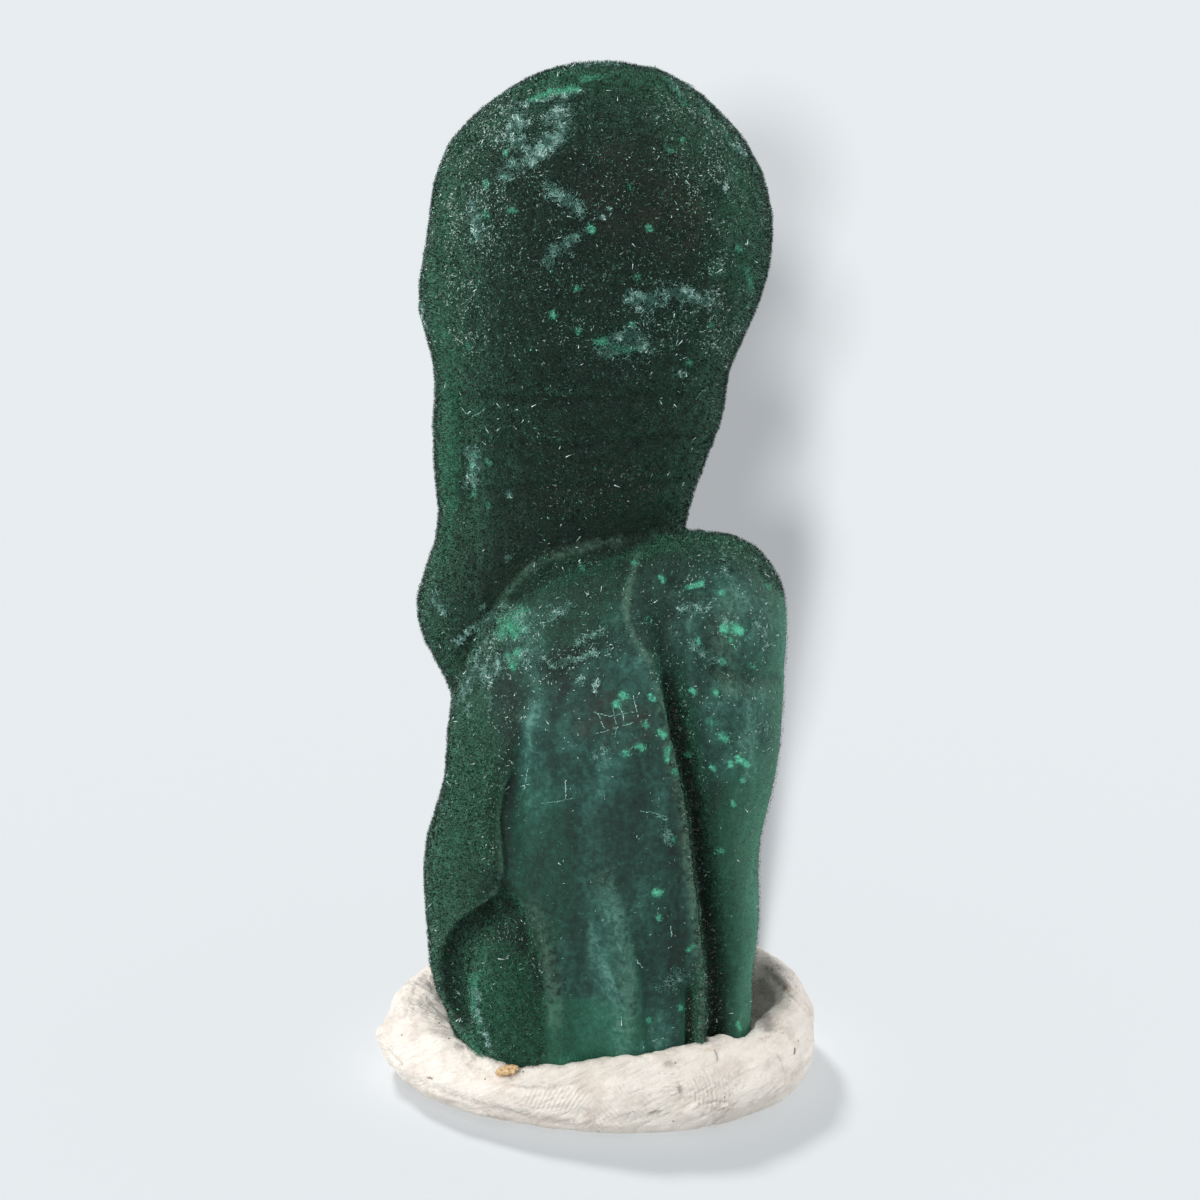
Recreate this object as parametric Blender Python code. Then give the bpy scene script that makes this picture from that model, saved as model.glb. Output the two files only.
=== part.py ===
"""A velvety malachite specimen, standing in a kneaded ring of white putty.

The malachite grew as one piece: a tall rear finger with a bulbous head, and a broad lower lobe in
front of it, creased by a deep groove. Its foot is pressed into the putty, which rests on a flat face
and has a flake of tan rock stuck in its lip.
Sizes are in millimetres, X to the right, Y to the back and Z up, with the origin in the middle of the
putty's footprint. The meshes are made in metres.
"""

import math

import bmesh
import bpy
import numpy as np
from mathutils import Euler, Vector, noise

MM = 0.001

# Driving dimensions
HEIGHT = 111.4
FOOT_HEIGHT = 3.0
GAP = 0.3
SPARE = 0.2
SQUARENESS = 2.35
GRAIN = 0.55
SHARE_OF_FACES_KEPT = 0.062

# Rear finger, from its foot to its top: height, left, right, front and back of each level
FINGER = (
    (FOOT_HEIGHT, -13.0, 11.0, -4.0, 15.0),
    (9.0, -14.6, 12.2, -5.0, 16.8),
    (20.0, -15.0, 12.0, -5.5, 17.4),
    (34.0, -15.6, 10.5, -6.5, 17.0),
    (43.0, -16.5, 9.3, -7.5, 16.4),
    (52.0, -19.3, 8.8, -8.6, 16.8),
    (60.0, -17.5, 9.1, -8.8, 16.2),
    (67.0, -17.6, 10.8, -9.0, 15.8),
    (74.0, -17.6, 13.2, -10.6, 16.2),
    (79.0, -17.6, 13.8, -12.0, 17.2),
    (85.3, -19.1, 16.6, -13.4, 18.2),
    (92.5, -18.2, 17.9, -14.0, 18.6),
    (99.0, -17.1, 16.8, -13.0, 17.4),
    (104.6, -14.0, 13.6, -10.4, 14.4),
    (108.8, -8.2, 9.0, -5.4, 9.8),
    (110.9, -3.2, 4.4, -0.9, 5.2),
    (HEIGHT, 0.8, 1.4, 2.4, 2.8),
)

# Front lobe, the same way
LOBE = (
    (FOOT_HEIGHT, -13.4, 15.6, -15.6, 4.0),
    (6.0, -15.2, 16.6, -17.6, 6.0),
    (12.6, -17.8, 16.8, -18.4, 8.0),
    (20.0, -18.9, 17.5, -18.8, 8.5),
    (28.2, -18.5, 17.4, -18.6, 8.5),
    (35.0, -16.7, 18.7, -18.2, 8.0),
    (43.7, -15.9, 19.5, -17.4, 7.0),
    (50.0, -13.5, 20.0, -16.2, 6.0),
    (55.0, -10.4, 19.8, -14.6, 5.0),
    (59.2, -5.6, 18.0, -12.2, 3.0),
    (61.4, 0.6, 15.8, -9.8, 0.0),
    (62.5, 7.6, 12.8, -7.0, -3.8),
)

FRONT, BACK = -1, 1

# Folds drawn in the front or back view: the face that they lie on, their height (less than nothing
# for a groove), their reach to the left and right of the line, and the line's points across and up
FOLDS = {
    "groove": (FRONT, -3.0, 0.8, 1.6, ((6.0, 57.0), (7.0, 51.0), (8.2, 45.5), (9.6, 39.5), (10.7, 33.0),
                                       (11.6, 26.0), (12.3, 19.6), (12.6, 14.0), (12.4, 3.0))),
    "groove's bank": (FRONT, 0.5, 1.6, 0.5, ((5.0, 60.0), (5.6, 52.5), (6.5, 47.5), (7.8, 40.5),
                                             (9.0, 34.4), (9.9, 26.5), (10.7, 19.6), (11.0, 14.0),
                                             (10.9, 3.0))),
    "bank's crease": (FRONT, -1.3, 0.45, 0.5, ((9.2, 18.0), (9.6, 12.9), (9.4, 3.0))),
    "rim": (FRONT, 0.8, 2.0, 0.45, ((-8.4, 45.0), (-10.0, 39.3), (-11.0, 35.5), (-10.5, 31.0),
                                    (-10.8, 28.0), (-12.9, 25.5), (-15.7, 22.3), (-17.2, 18.0),
                                    (-17.4, 14.5), (-16.4, 9.0))),
    "rim's crease": (FRONT, -0.9, 0.5, 1.8, ((-7.4, 45.0), (-9.0, 39.5), (-9.9, 35.5), (-9.5, 31.0),
                                             (-8.9, 26.0))),
    "hollow": (FRONT, -2.0, 0.8, 1.5, ((-7.9, 27.6), (-9.9, 25.6), (-12.2, 23.7), (-14.2, 21.1),
                                       (-15.7, 18.2), (-16.1, 15.0), (-15.3, 9.0))),
    "left fold": (FRONT, 0.55, 1.0, 1.0, ((-8.6, 26.6), (-6.7, 22.8), (-5.2, 19.0), (-4.3, 14.0),
                                          (-3.8, 4.0))),
    "left fold's crease": (FRONT, -0.5, 0.6, 0.6, ((-7.6, 26.2), (-5.6, 23.6), (-4.0, 21.2))),
    "middle valley": (FRONT, -0.5, 1.6, 1.6, ((-2.4, 22.0), (-1.2, 14.0), (-0.8, 4.0))),
    "middle fold": (FRONT, 0.6, 1.2, 0.9, ((-0.6, 28.5), (1.2, 23.4), (3.0, 19.4), (3.4, 14.0),
                                           (3.7, 4.0))),
    "middle fold's crease": (FRONT, -0.5, 0.6, 1.4, ((1.8, 25.0), (3.8, 21.0), (5.2, 15.0), (5.6, 4.0))),
    "waist": (FRONT, -0.8, 1.2, 1.2, ((8.6, 51.3), (13.0, 49.8), (16.0, 49.0), (21.0, 47.4))),
    "shoulder fold": (FRONT, 0.6, 1.4, 1.2, ((9.5, 62.2), (6.2, 61.2), (4.6, 58.6), (4.8, 55.5))),
    "shoulder's crease": (FRONT, -0.45, 0.9, 1.2, ((6.6, 59.8), (9.0, 59.6), (13.0, 58.8))),
    "finger's corner": (FRONT, -0.5, 1.2, 1.4, ((-14.6, 80.0), (-14.4, 70.0), (-14.8, 60.0))),
    "back groove": (BACK, -2.2, 1.2, 1.5, ((-1.0, 63.0), (-3.4, 46.0), (-4.6, 28.0), (-4.0, 3.0))),
    "back fold": (BACK, 0.9, 1.8, 1.2, ((1.5, 58.0), (-0.6, 40.0), (-1.4, 20.0), (-0.8, 3.0))),
    "back crease": (BACK, -1.6, 1.3, 1.0, ((8.2, 44.0), (6.6, 28.0), (7.2, 14.0), (6.4, 3.0))),
}

# Low swellings: the middle of each, its reach and its height
SWELLINGS = (
    ((14.5, -13.5, 56.0), 5.0, 0.9),
    ((15.0, -13.5, 43.5), 5.5, 0.7),
    ((-15.0, -12.5, 35.0), 6.0, 0.8),
    ((-10.2, -17.0, 17.0), 3.6, 1.1),
    ((-1.0, -17.5, 43.0), 9.0, 0.6),
    ((-18.5, 2.0, 52.0), 6.0, 0.7),
    ((8.0, 16.5, 70.0), 8.0, 1.0),
    ((-9.0, 16.5, 36.0), 9.0, 1.4),
    ((9.0, 16.0, 18.0), 7.0, 1.2),
    ((-8.0, 15.0, 12.0), 6.0, 0.9),
    ((-12.0, 9.0, 92.0), 9.0, 0.5),
    ((6.0, 14.0, 98.0), 10.0, 0.6),
)

# Unevenness: its height and its spread
STONE_LUMPS = 0.45, 11.0
PUTTY_LUMPS = 0.4, 6.0

# Putty, by the angle from the right towards the back: outer radius, crest height, how far the crest
# lies inside the outer radius, and the height at which its inner side meets the stone
PUTTY = (
    (0, 23.7, 8.6, 2.8, 4.6),
    (40, 24.0, 9.2, 2.6, 3.6),
    (80, 22.6, 9.6, 2.8, 5.0),
    (120, 22.2, 9.6, 3.0, 7.0),
    (155, 22.8, 9.2, 3.4, 8.4),
    (180, 23.9, 8.6, 3.8, 7.6),
    (205, 23.0, 7.6, 4.0, 6.2),
    (230, 21.4, 6.8, 3.8, 5.2),
    (258, 20.9, 7.4, 3.2, 6.9),
    (285, 22.0, 8.8, 3.4, 8.5),
    (305, 23.2, 9.1, 4.0, 8.8),
    (320, 23.8, 8.4, 4.0, 7.4),
    (340, 24.0, 8.6, 3.4, 6.6),
)

# The nub pinched out of the putty's left end: its middle, its reach and its height
NUB = (-23.4, -3.2, 4.6), 1.5, 0.9

# Flake in the putty's lip
CHIP_SIZE = 3.0, 1.5, 1.0
CHIP_AT = -9.9, -17.35, 6.35
CHIP_TILT = Euler((math.radians(24), math.radians(-4), math.radians(-30))).to_matrix()


def spline(knots, values, at):
    """A natural cubic curve through the values at the knots, read at the places given."""
    knots, values, at = (np.asarray(x, float) for x in (knots, values, at))
    step = np.diff(knots)
    slope = np.diff(values) / step
    n = len(knots)
    system = np.eye(n)
    target = np.zeros(n)
    for i in range(1, n - 1):
        system[i, i - 1 : i + 2] = step[i - 1], 2 * (step[i - 1] + step[i]), step[i]
        target[i] = 6 * (slope[i] - slope[i - 1])
    bend = np.linalg.solve(system, target)
    i = np.clip(np.searchsorted(knots, at) - 1, 0, n - 2)
    h, a, b = step[i], knots[i + 1] - at, at - knots[i]
    return (
        (bend[i] * a**3 + bend[i + 1] * b**3) / (6 * h)
        + (values[i] / h - bend[i] * h / 6) * a
        + (values[i + 1] / h - bend[i + 1] * h / 6) * b
    )


def through(rows, count, measured=(0, 1)):
    """A smooth curve through the rows, evenly spaced by its length over the measured columns."""
    rows = np.array(rows, float)
    lengths = np.hypot(*np.diff(rows[:, list(measured)], axis=0).T)
    knots = np.append(0, np.cumsum(lengths))
    at = np.linspace(0, knots[-1], count)
    return np.stack([spline(knots, column, at) for column in rows.T], axis=1)


def eased(x):
    """0 below 0, 1 above 1 and smooth between."""
    x = np.clip(x, 0, 1)
    return x * x * (3 - 2 * x)


def lofted(rows, rings, around):
    """A grid of points, one ring of them for each level, each ring a rounded box."""
    turn = np.arange(around) * 2 * math.pi / around
    across, deep = (
        np.sign(wave) * np.abs(wave) ** (2 / SQUARENESS)
        for wave in (np.cos(turn), np.sin(turn))
    )
    height, left, right, front, back = through(rows, rings, (0, 2)).T[:, :, None]
    x = (left + right) / 2 + (right - left) / 2 * across
    y = (front + back) / 2 + (back - front) / 2 * deep
    return np.stack([x, y, np.broadcast_to(height, x.shape)], axis=2)


def normals_of(grid):
    """The outward direction at each point of a grid of rings."""
    round_it = np.roll(grid, -1, axis=1) - np.roll(grid, 1, axis=1)
    up_it = np.gradient(grid, axis=0)
    normals = np.cross(round_it, up_it)
    return normals / np.maximum(np.linalg.norm(normals, axis=2, keepdims=True), 1e-9)


def beside(points, path):
    """How far each point lies to the right of the path in the front view, and how far along it."""
    path = through(path, 60)
    start, step = path[:-1], np.diff(path, axis=0)
    offset = points[:, None, :] - start[None]
    along = np.clip((offset * step).sum(2) / (step**2).sum(1), 0, 1)
    gap = offset - along[:, :, None] * step
    distance = np.hypot(gap[:, :, 0], gap[:, :, 1])
    nearest = distance.argmin(axis=1)
    rows = np.arange(len(points))
    side = np.sign(
        gap[rows, nearest, 1] * step[nearest, 0] - gap[rows, nearest, 0] * step[nearest, 1]
    )
    share = (nearest + along[rows, nearest]) / len(step)
    return side * distance[rows, nearest], share


def lumps(points, height, spread):
    """A soft, uneven swelling over the points."""
    return height * np.array([noise.noise(Vector(p) / spread) for p in points])


def relief(points, normals):
    """How far the folds, swellings and unevenness move each point outwards."""
    moved = np.zeros(len(points))
    flat = points[:, [0, 2]]
    for face, height, left_reach, right_reach, path in FOLDS.values():
        side, along = beside(flat, path)
        reach = np.where(side < 0, left_reach, right_reach)
        faces_it = eased(0.15 + 1.6 * face * normals[:, 1])
        ends = eased(along / 0.2) * eased((1 - along) / 0.08 + (path[-1][1] < 9))
        moved += height * np.exp(-((side / reach) ** 2)) * faces_it * ends
    for middle, reach, height in SWELLINGS:
        away = np.linalg.norm(points - middle, axis=1)
        moved += height * np.exp(-((away / reach) ** 2))
    return moved + lumps(points, *STONE_LUMPS)


def growth(rows, rings, around):
    """A lobe of the malachite as a grid, with its relief."""
    grid = lofted(rows, rings, around)
    normals = normals_of(grid)
    points = grid.reshape(-1, 3)
    amount = relief(points, normals.reshape(-1, 3)).reshape(grid.shape[:2])
    amount *= eased((grid[:, :, 2] - FOOT_HEIGHT) / 3)
    return grid + normals * amount[:, :, None]


def skinned(name, grid):
    """A closed mesh object over a grid of rings, with a fan of faces at either end."""
    bm = bmesh.new()
    rings = [[bm.verts.new(Vector(p) * MM) for p in ring] for ring in grid]
    for low, high in zip(rings, rings[1:]):
        for i in range(len(low)):
            j = (i + 1) % len(low)
            bm.faces.new((low[i], low[j], high[j], high[i]))
    for ring, order in ((rings[0], -1), (rings[-1], 1)):
        middle = bm.verts.new(sum((v.co for v in ring), Vector()) / len(ring))
        for i in range(len(ring)):
            pair = (ring[i], ring[(i + 1) % len(ring)])[::order]
            bm.faces.new((*pair, middle))
    mesh = bpy.data.meshes.new(name)
    bm.to_mesh(mesh)
    bm.free()
    obj = bpy.data.objects.new(name, mesh)
    bpy.context.scene.collection.objects.link(obj)
    return obj


def boolean(obj, other, operation):
    """Joins the other object to this one, or cuts it away, and keeps it out of the render."""
    modifier = obj.modifiers.new(f"{operation} {other.name}", "BOOLEAN")
    modifier.operation = operation
    modifier.object = other
    modifier.solver = "EXACT"
    other.hide_render = True
    other.hide_viewport = False
    other.display_type = "WIRE"


def even_skin(obj):
    """Gives the object one skin of even faces."""
    skin = obj.modifiers.new("even skin", "REMESH")
    skin.mode = "VOXEL"
    skin.voxel_size = GRAIN * MM


def fused(obj, grown):
    """Gives the joined object one skin, moved out as far as is asked, and then fewer faces."""
    even_skin(obj)
    if grown:
        swell = obj.modifiers.new("grown", "DISPLACE")
        swell.strength = grown * MM
        swell.mid_level = 0
        even_skin(obj)
    thin = obj.modifiers.new("fewer faces", "DECIMATE")
    thin.ratio = SHARE_OF_FACES_KEPT
    thin.use_collapse_triangulate = True


def material(name, colour, roughness):
    """A plain finish for one piece."""
    made = bpy.data.materials.new(name)
    made.use_nodes = True
    shader = made.node_tree.nodes["Principled BSDF"]
    shader.inputs["Base Color"].default_value = (*colour, 1)
    shader.inputs["Roughness"].default_value = roughness
    shader.inputs["Metallic"].default_value = 0
    return made


def stone(name, grown=0.0):
    """The stone: its finger and its front lobe, grown together."""
    finger = skinned(name, growth(FINGER, 110, 110))
    lobe = skinned(f"{name} lobe", growth(LOBE, 110, 220))
    boolean(finger, lobe, "UNION")
    fused(finger, grown)
    return finger


def kneaded(grid):
    """Makes the putty uneven and pinches out its nub, and leaves its foot flat."""
    points, normals = grid.reshape(-1, 3), normals_of(grid).reshape(-1, 3)
    amount = lumps(points, *PUTTY_LUMPS)
    middle, reach, height = NUB
    amount += height * np.exp(-((np.linalg.norm(points - middle, axis=1) / reach) ** 2))
    amount *= eased(points[:, 2] / 1.5)
    return (points + normals * amount[:, None]).reshape(grid.shape)


def putty_grid(around):
    """Rings over the putty: flat below, a round outer side, a crest, and a dished top."""
    turn = np.arange(around) * 2 * math.pi / around
    rows = np.array(PUTTY, float)
    turns = [rows + [shift, 0, 0, 0, 0] for shift in (-360, 0, 360)]
    angle, *columns = np.concatenate(turns).T
    radius, crest, inset, inner = (spline(angle, c, np.degrees(turn)) for c in columns)
    middle = radius - inset
    corner = radius * 0.3
    profile = (
        (corner, 0 * crest),
        (radius * 0.62, 0 * crest),
        (radius - 3.4, 0 * crest),
        (radius - 1.5, 0.5 + 0 * crest),
        (radius - 0.35, 1.9 + 0 * crest),
        (radius, 0.45 * crest),
        (radius - 0.3 * inset, 0.82 * crest),
        (middle, crest),
        (middle - 1.6, crest - 0.25 * (crest - inner)),
        (middle - 3.2, inner),
        (middle - 5.6, inner - 0.2),
        (corner, inner - 0.2),
    )
    profile = np.array(profile)
    grid = np.stack(
        [profile[:, 0] * np.cos(turn), profile[:, 0] * np.sin(turn), profile[:, 1]], axis=2
    )
    return kneaded(grid)


def chip(name, grown=0.0):
    """The flake of tan rock that is stuck in the putty's lip."""
    flake = bmesh.new()
    bmesh.ops.create_icosphere(flake, subdivisions=2, radius=1)
    for v in flake.verts:
        size = Vector(side / 2 + grown for side in CHIP_SIZE)
        v.co = (CHIP_TILT @ (v.co * size) + Vector(CHIP_AT)) * MM
    mesh = bpy.data.meshes.new(name)
    flake.to_mesh(mesh)
    flake.free()
    obj = bpy.data.objects.new(name, mesh)
    bpy.context.scene.collection.objects.link(obj)
    return obj


def putty():
    """The kneaded base, with a pocket for the stone's foot."""
    base = skinned("putty", putty_grid(84))
    pocket = stone("pocket cutter", GAP + SPARE)
    boolean(base, pocket, "DIFFERENCE")
    boolean(base, chip("chip cutter", GAP), "DIFFERENCE")
    base.data.materials.append(material("putty", (0.8, 0.76, 0.72), 0.7))
    return base


def main():
    """Builds the pieces."""
    for obj in list(bpy.data.objects):
        bpy.data.objects.remove(obj)
    stone("malachite").data.materials.append(material("malachite", (0.03, 0.12, 0.08), 0.8))
    putty()
    chip("chip").data.materials.append(material("chip", (0.5, 0.34, 0.16), 0.7))


main()
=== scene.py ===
"""Dresses the malachite specimen in a velvety nap of fine needles, flecks, frost and kneaded putty.

The stone's shape follows the same tables as the solid, a little inside it, so that the tips of the
needles reach the solid's surface. Sizes are in millimetres until a mesh is made, in metres.
"""

import math

import bpy
import numpy as np
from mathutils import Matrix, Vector, noise
from mathutils.bvhtree import BVHTree
from mathutils.kdtree import KDTree


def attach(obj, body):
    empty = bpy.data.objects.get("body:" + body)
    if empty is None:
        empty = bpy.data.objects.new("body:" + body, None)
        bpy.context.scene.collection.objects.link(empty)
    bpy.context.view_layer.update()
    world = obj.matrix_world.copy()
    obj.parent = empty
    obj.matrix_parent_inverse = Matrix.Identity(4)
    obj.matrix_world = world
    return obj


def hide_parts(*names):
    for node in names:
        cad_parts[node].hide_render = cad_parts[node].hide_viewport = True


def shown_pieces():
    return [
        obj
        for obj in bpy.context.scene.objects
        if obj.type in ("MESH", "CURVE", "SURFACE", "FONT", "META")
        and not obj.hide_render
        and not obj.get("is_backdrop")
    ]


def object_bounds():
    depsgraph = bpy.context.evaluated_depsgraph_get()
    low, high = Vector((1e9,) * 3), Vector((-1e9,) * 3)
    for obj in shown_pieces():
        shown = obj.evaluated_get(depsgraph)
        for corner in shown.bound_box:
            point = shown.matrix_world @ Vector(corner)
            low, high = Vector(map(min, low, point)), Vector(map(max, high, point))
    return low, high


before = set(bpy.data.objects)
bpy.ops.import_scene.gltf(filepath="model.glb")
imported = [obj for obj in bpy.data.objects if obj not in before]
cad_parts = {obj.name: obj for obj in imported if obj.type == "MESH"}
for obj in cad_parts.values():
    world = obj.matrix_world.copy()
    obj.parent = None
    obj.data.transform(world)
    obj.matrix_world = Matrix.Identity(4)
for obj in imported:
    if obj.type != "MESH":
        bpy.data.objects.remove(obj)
cad_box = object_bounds()

MM = 0.001

# The solid's own dimensions
HEIGHT = 111.4
FOOT_HEIGHT = 3.0
SQUARENESS = 2.35

# Rear finger, from its foot to its top: height, left, right, front and back of each level
FINGER = (
    (FOOT_HEIGHT, -13.0, 11.0, -4.0, 15.0),
    (9.0, -14.6, 12.2, -5.0, 16.8),
    (20.0, -15.0, 12.0, -5.5, 17.4),
    (34.0, -15.6, 10.5, -6.5, 17.0),
    (43.0, -16.5, 9.3, -7.5, 16.4),
    (52.0, -19.3, 8.8, -8.6, 16.8),
    (60.0, -17.5, 9.1, -8.8, 16.2),
    (67.0, -17.6, 10.8, -9.0, 15.8),
    (74.0, -17.6, 13.2, -10.6, 16.2),
    (79.0, -17.6, 13.8, -12.0, 17.2),
    (85.3, -19.1, 16.6, -13.4, 18.2),
    (92.5, -18.2, 17.9, -14.0, 18.6),
    (99.0, -17.1, 16.8, -13.0, 17.4),
    (104.6, -14.0, 13.6, -10.4, 14.4),
    (108.8, -8.2, 9.0, -5.4, 9.8),
    (110.9, -3.2, 4.4, -0.9, 5.2),
    (HEIGHT, 0.8, 1.4, 2.4, 2.8),
)

# Front lobe, the same way
LOBE = (
    (FOOT_HEIGHT, -13.4, 15.6, -15.6, 4.0),
    (6.0, -15.2, 16.6, -17.6, 6.0),
    (12.6, -17.8, 16.8, -18.4, 8.0),
    (20.0, -18.9, 17.5, -18.8, 8.5),
    (28.2, -18.5, 17.4, -18.6, 8.5),
    (35.0, -16.7, 18.7, -18.2, 8.0),
    (43.7, -15.9, 19.5, -17.4, 7.0),
    (50.0, -13.5, 20.0, -16.2, 6.0),
    (55.0, -10.4, 19.8, -14.6, 5.0),
    (59.2, -5.6, 18.0, -12.2, 3.0),
    (61.4, 0.6, 15.8, -9.8, 0.0),
    (62.5, 7.6, 12.8, -7.0, -3.8),
)

FRONT, BACK = -1, 1

# Folds drawn in the front or back view: the face that they lie on, their height (less than nothing
# for a groove), their reach to the left and right of the line, and the line's points across and up
FOLDS = {
    "groove": (FRONT, -3.0, 0.8, 1.6, ((6.0, 57.0), (7.0, 51.0), (8.2, 45.5), (9.6, 39.5),
        (10.7, 33.0), (11.6, 26.0), (12.3, 19.6), (12.6, 14.0),
        (12.4, 3.0))),
    "groove's bank": (FRONT, 0.5, 1.6, 0.5, ((5.0, 60.0), (5.6, 52.5), (6.5, 47.5), (7.8, 40.5),
        (9.0, 34.4), (9.9, 26.5), (10.7, 19.6), (11.0, 14.0),
        (10.9, 3.0))),
    "bank's crease": (FRONT, -1.3, 0.45, 0.5, ((9.2, 18.0), (9.6, 12.9), (9.4, 3.0))),
    "rim": (FRONT, 0.8, 2.0, 0.45, ((-8.4, 45.0), (-10.0, 39.3), (-11.0, 35.5), (-10.5, 31.0),
        (-10.8, 28.0), (-12.9, 25.5), (-15.7, 22.3), (-17.2, 18.0),
        (-17.4, 14.5), (-16.4, 9.0))),
    "rim's crease": (FRONT, -0.9, 0.5, 1.8, ((-7.4, 45.0), (-9.0, 39.5), (-9.9, 35.5), (-9.5, 31.0),
        (-8.9, 26.0))),
    "hollow": (FRONT, -2.0, 0.8, 1.5, ((-7.9, 27.6), (-9.9, 25.6), (-12.2, 23.7), (-14.2, 21.1),
        (-15.7, 18.2), (-16.1, 15.0), (-15.3, 9.0))),
    "left fold": (FRONT, 0.55, 1.0, 1.0, ((-8.6, 26.6), (-6.7, 22.8), (-5.2, 19.0), (-4.3, 14.0),
        (-3.8, 4.0))),
    "left fold's crease": (FRONT, -0.5, 0.6, 0.6, ((-7.6, 26.2), (-5.6, 23.6), (-4.0, 21.2))),
    "middle valley": (FRONT, -0.5, 1.6, 1.6, ((-2.4, 22.0), (-1.2, 14.0), (-0.8, 4.0))),
    "middle fold": (FRONT, 0.6, 1.2, 0.9, ((-0.6, 28.5), (1.2, 23.4), (3.0, 19.4), (3.4, 14.0),
        (3.7, 4.0))),
    "middle fold's crease": (FRONT, -0.5, 0.6, 1.4, ((1.8, 25.0), (3.8, 21.0), (5.2, 15.0),
        (5.6, 4.0))),
    "waist": (FRONT, -0.8, 1.2, 1.2, ((8.6, 51.3), (13.0, 49.8), (16.0, 49.0), (21.0, 47.4))),
    "shoulder fold": (FRONT, 0.6, 1.4, 1.2, ((9.5, 62.2), (6.2, 61.2), (4.6, 58.6), (4.8, 55.5))),
    "shoulder's crease": (FRONT, -0.45, 0.9, 1.2, ((6.6, 59.8), (9.0, 59.6), (13.0, 58.8))),
    "finger's corner": (FRONT, -0.5, 1.2, 1.4, ((-14.6, 80.0), (-14.4, 70.0), (-14.8, 60.0))),
    "back groove": (BACK, -2.2, 1.2, 1.5, ((-1.0, 63.0), (-3.4, 46.0), (-4.6, 28.0), (-4.0, 3.0))),
    "back fold": (BACK, 0.9, 1.8, 1.2, ((1.5, 58.0), (-0.6, 40.0), (-1.4, 20.0), (-0.8, 3.0))),
    "back crease": (BACK, -1.6, 1.3, 1.0, ((8.2, 44.0), (6.6, 28.0), (7.2, 14.0), (6.4, 3.0))),
}

# Low swellings: the middle of each, its reach and its height
SWELLINGS = (
    ((14.5, -13.5, 56.0), 5.0, 0.9),
    ((15.0, -13.5, 43.5), 5.5, 0.7),
    ((-15.0, -12.5, 35.0), 6.0, 0.8),
    ((-10.2, -17.0, 17.0), 3.6, 1.1),
    ((-1.0, -17.5, 43.0), 9.0, 0.6),
    ((-18.5, 2.0, 52.0), 6.0, 0.7),
    ((8.0, 16.5, 70.0), 8.0, 1.0),
    ((-9.0, 16.5, 36.0), 9.0, 1.4),
    ((9.0, 16.0, 18.0), 7.0, 1.2),
    ((-8.0, 15.0, 12.0), 6.0, 0.9),
    ((-12.0, 9.0, 92.0), 9.0, 0.5),
    ((6.0, 14.0, 98.0), 10.0, 0.6),
)

# Unevenness: its height and its spread
STONE_LUMPS = 0.45, 11.0
PUTTY_LUMPS = 0.4, 6.0

# Putty, by the angle from the right towards the back: outer radius, crest height, how far the crest
# lies inside the outer radius, and the height at which its inner side meets the stone
PUTTY = (
    (0, 23.7, 8.6, 2.8, 4.6),
    (40, 24.0, 9.2, 2.6, 3.6),
    (80, 22.6, 9.6, 2.8, 5.0),
    (120, 22.2, 9.6, 3.0, 7.0),
    (155, 22.8, 9.2, 3.4, 8.4),
    (180, 23.9, 8.6, 3.8, 7.6),
    (205, 23.0, 7.6, 4.0, 6.2),
    (230, 21.4, 6.8, 3.8, 5.2),
    (258, 20.9, 7.4, 3.2, 6.9),
    (285, 22.0, 8.8, 3.4, 8.5),
    (305, 23.2, 9.1, 4.0, 8.8),
    (320, 23.8, 8.4, 4.0, 7.4),
    (340, 24.0, 8.6, 3.4, 6.6),
)

# The nub pinched out of the putty's left end: its middle, its reach and its height
NUB = (-23.4, -3.2, 4.6), 1.5, 0.9

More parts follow.
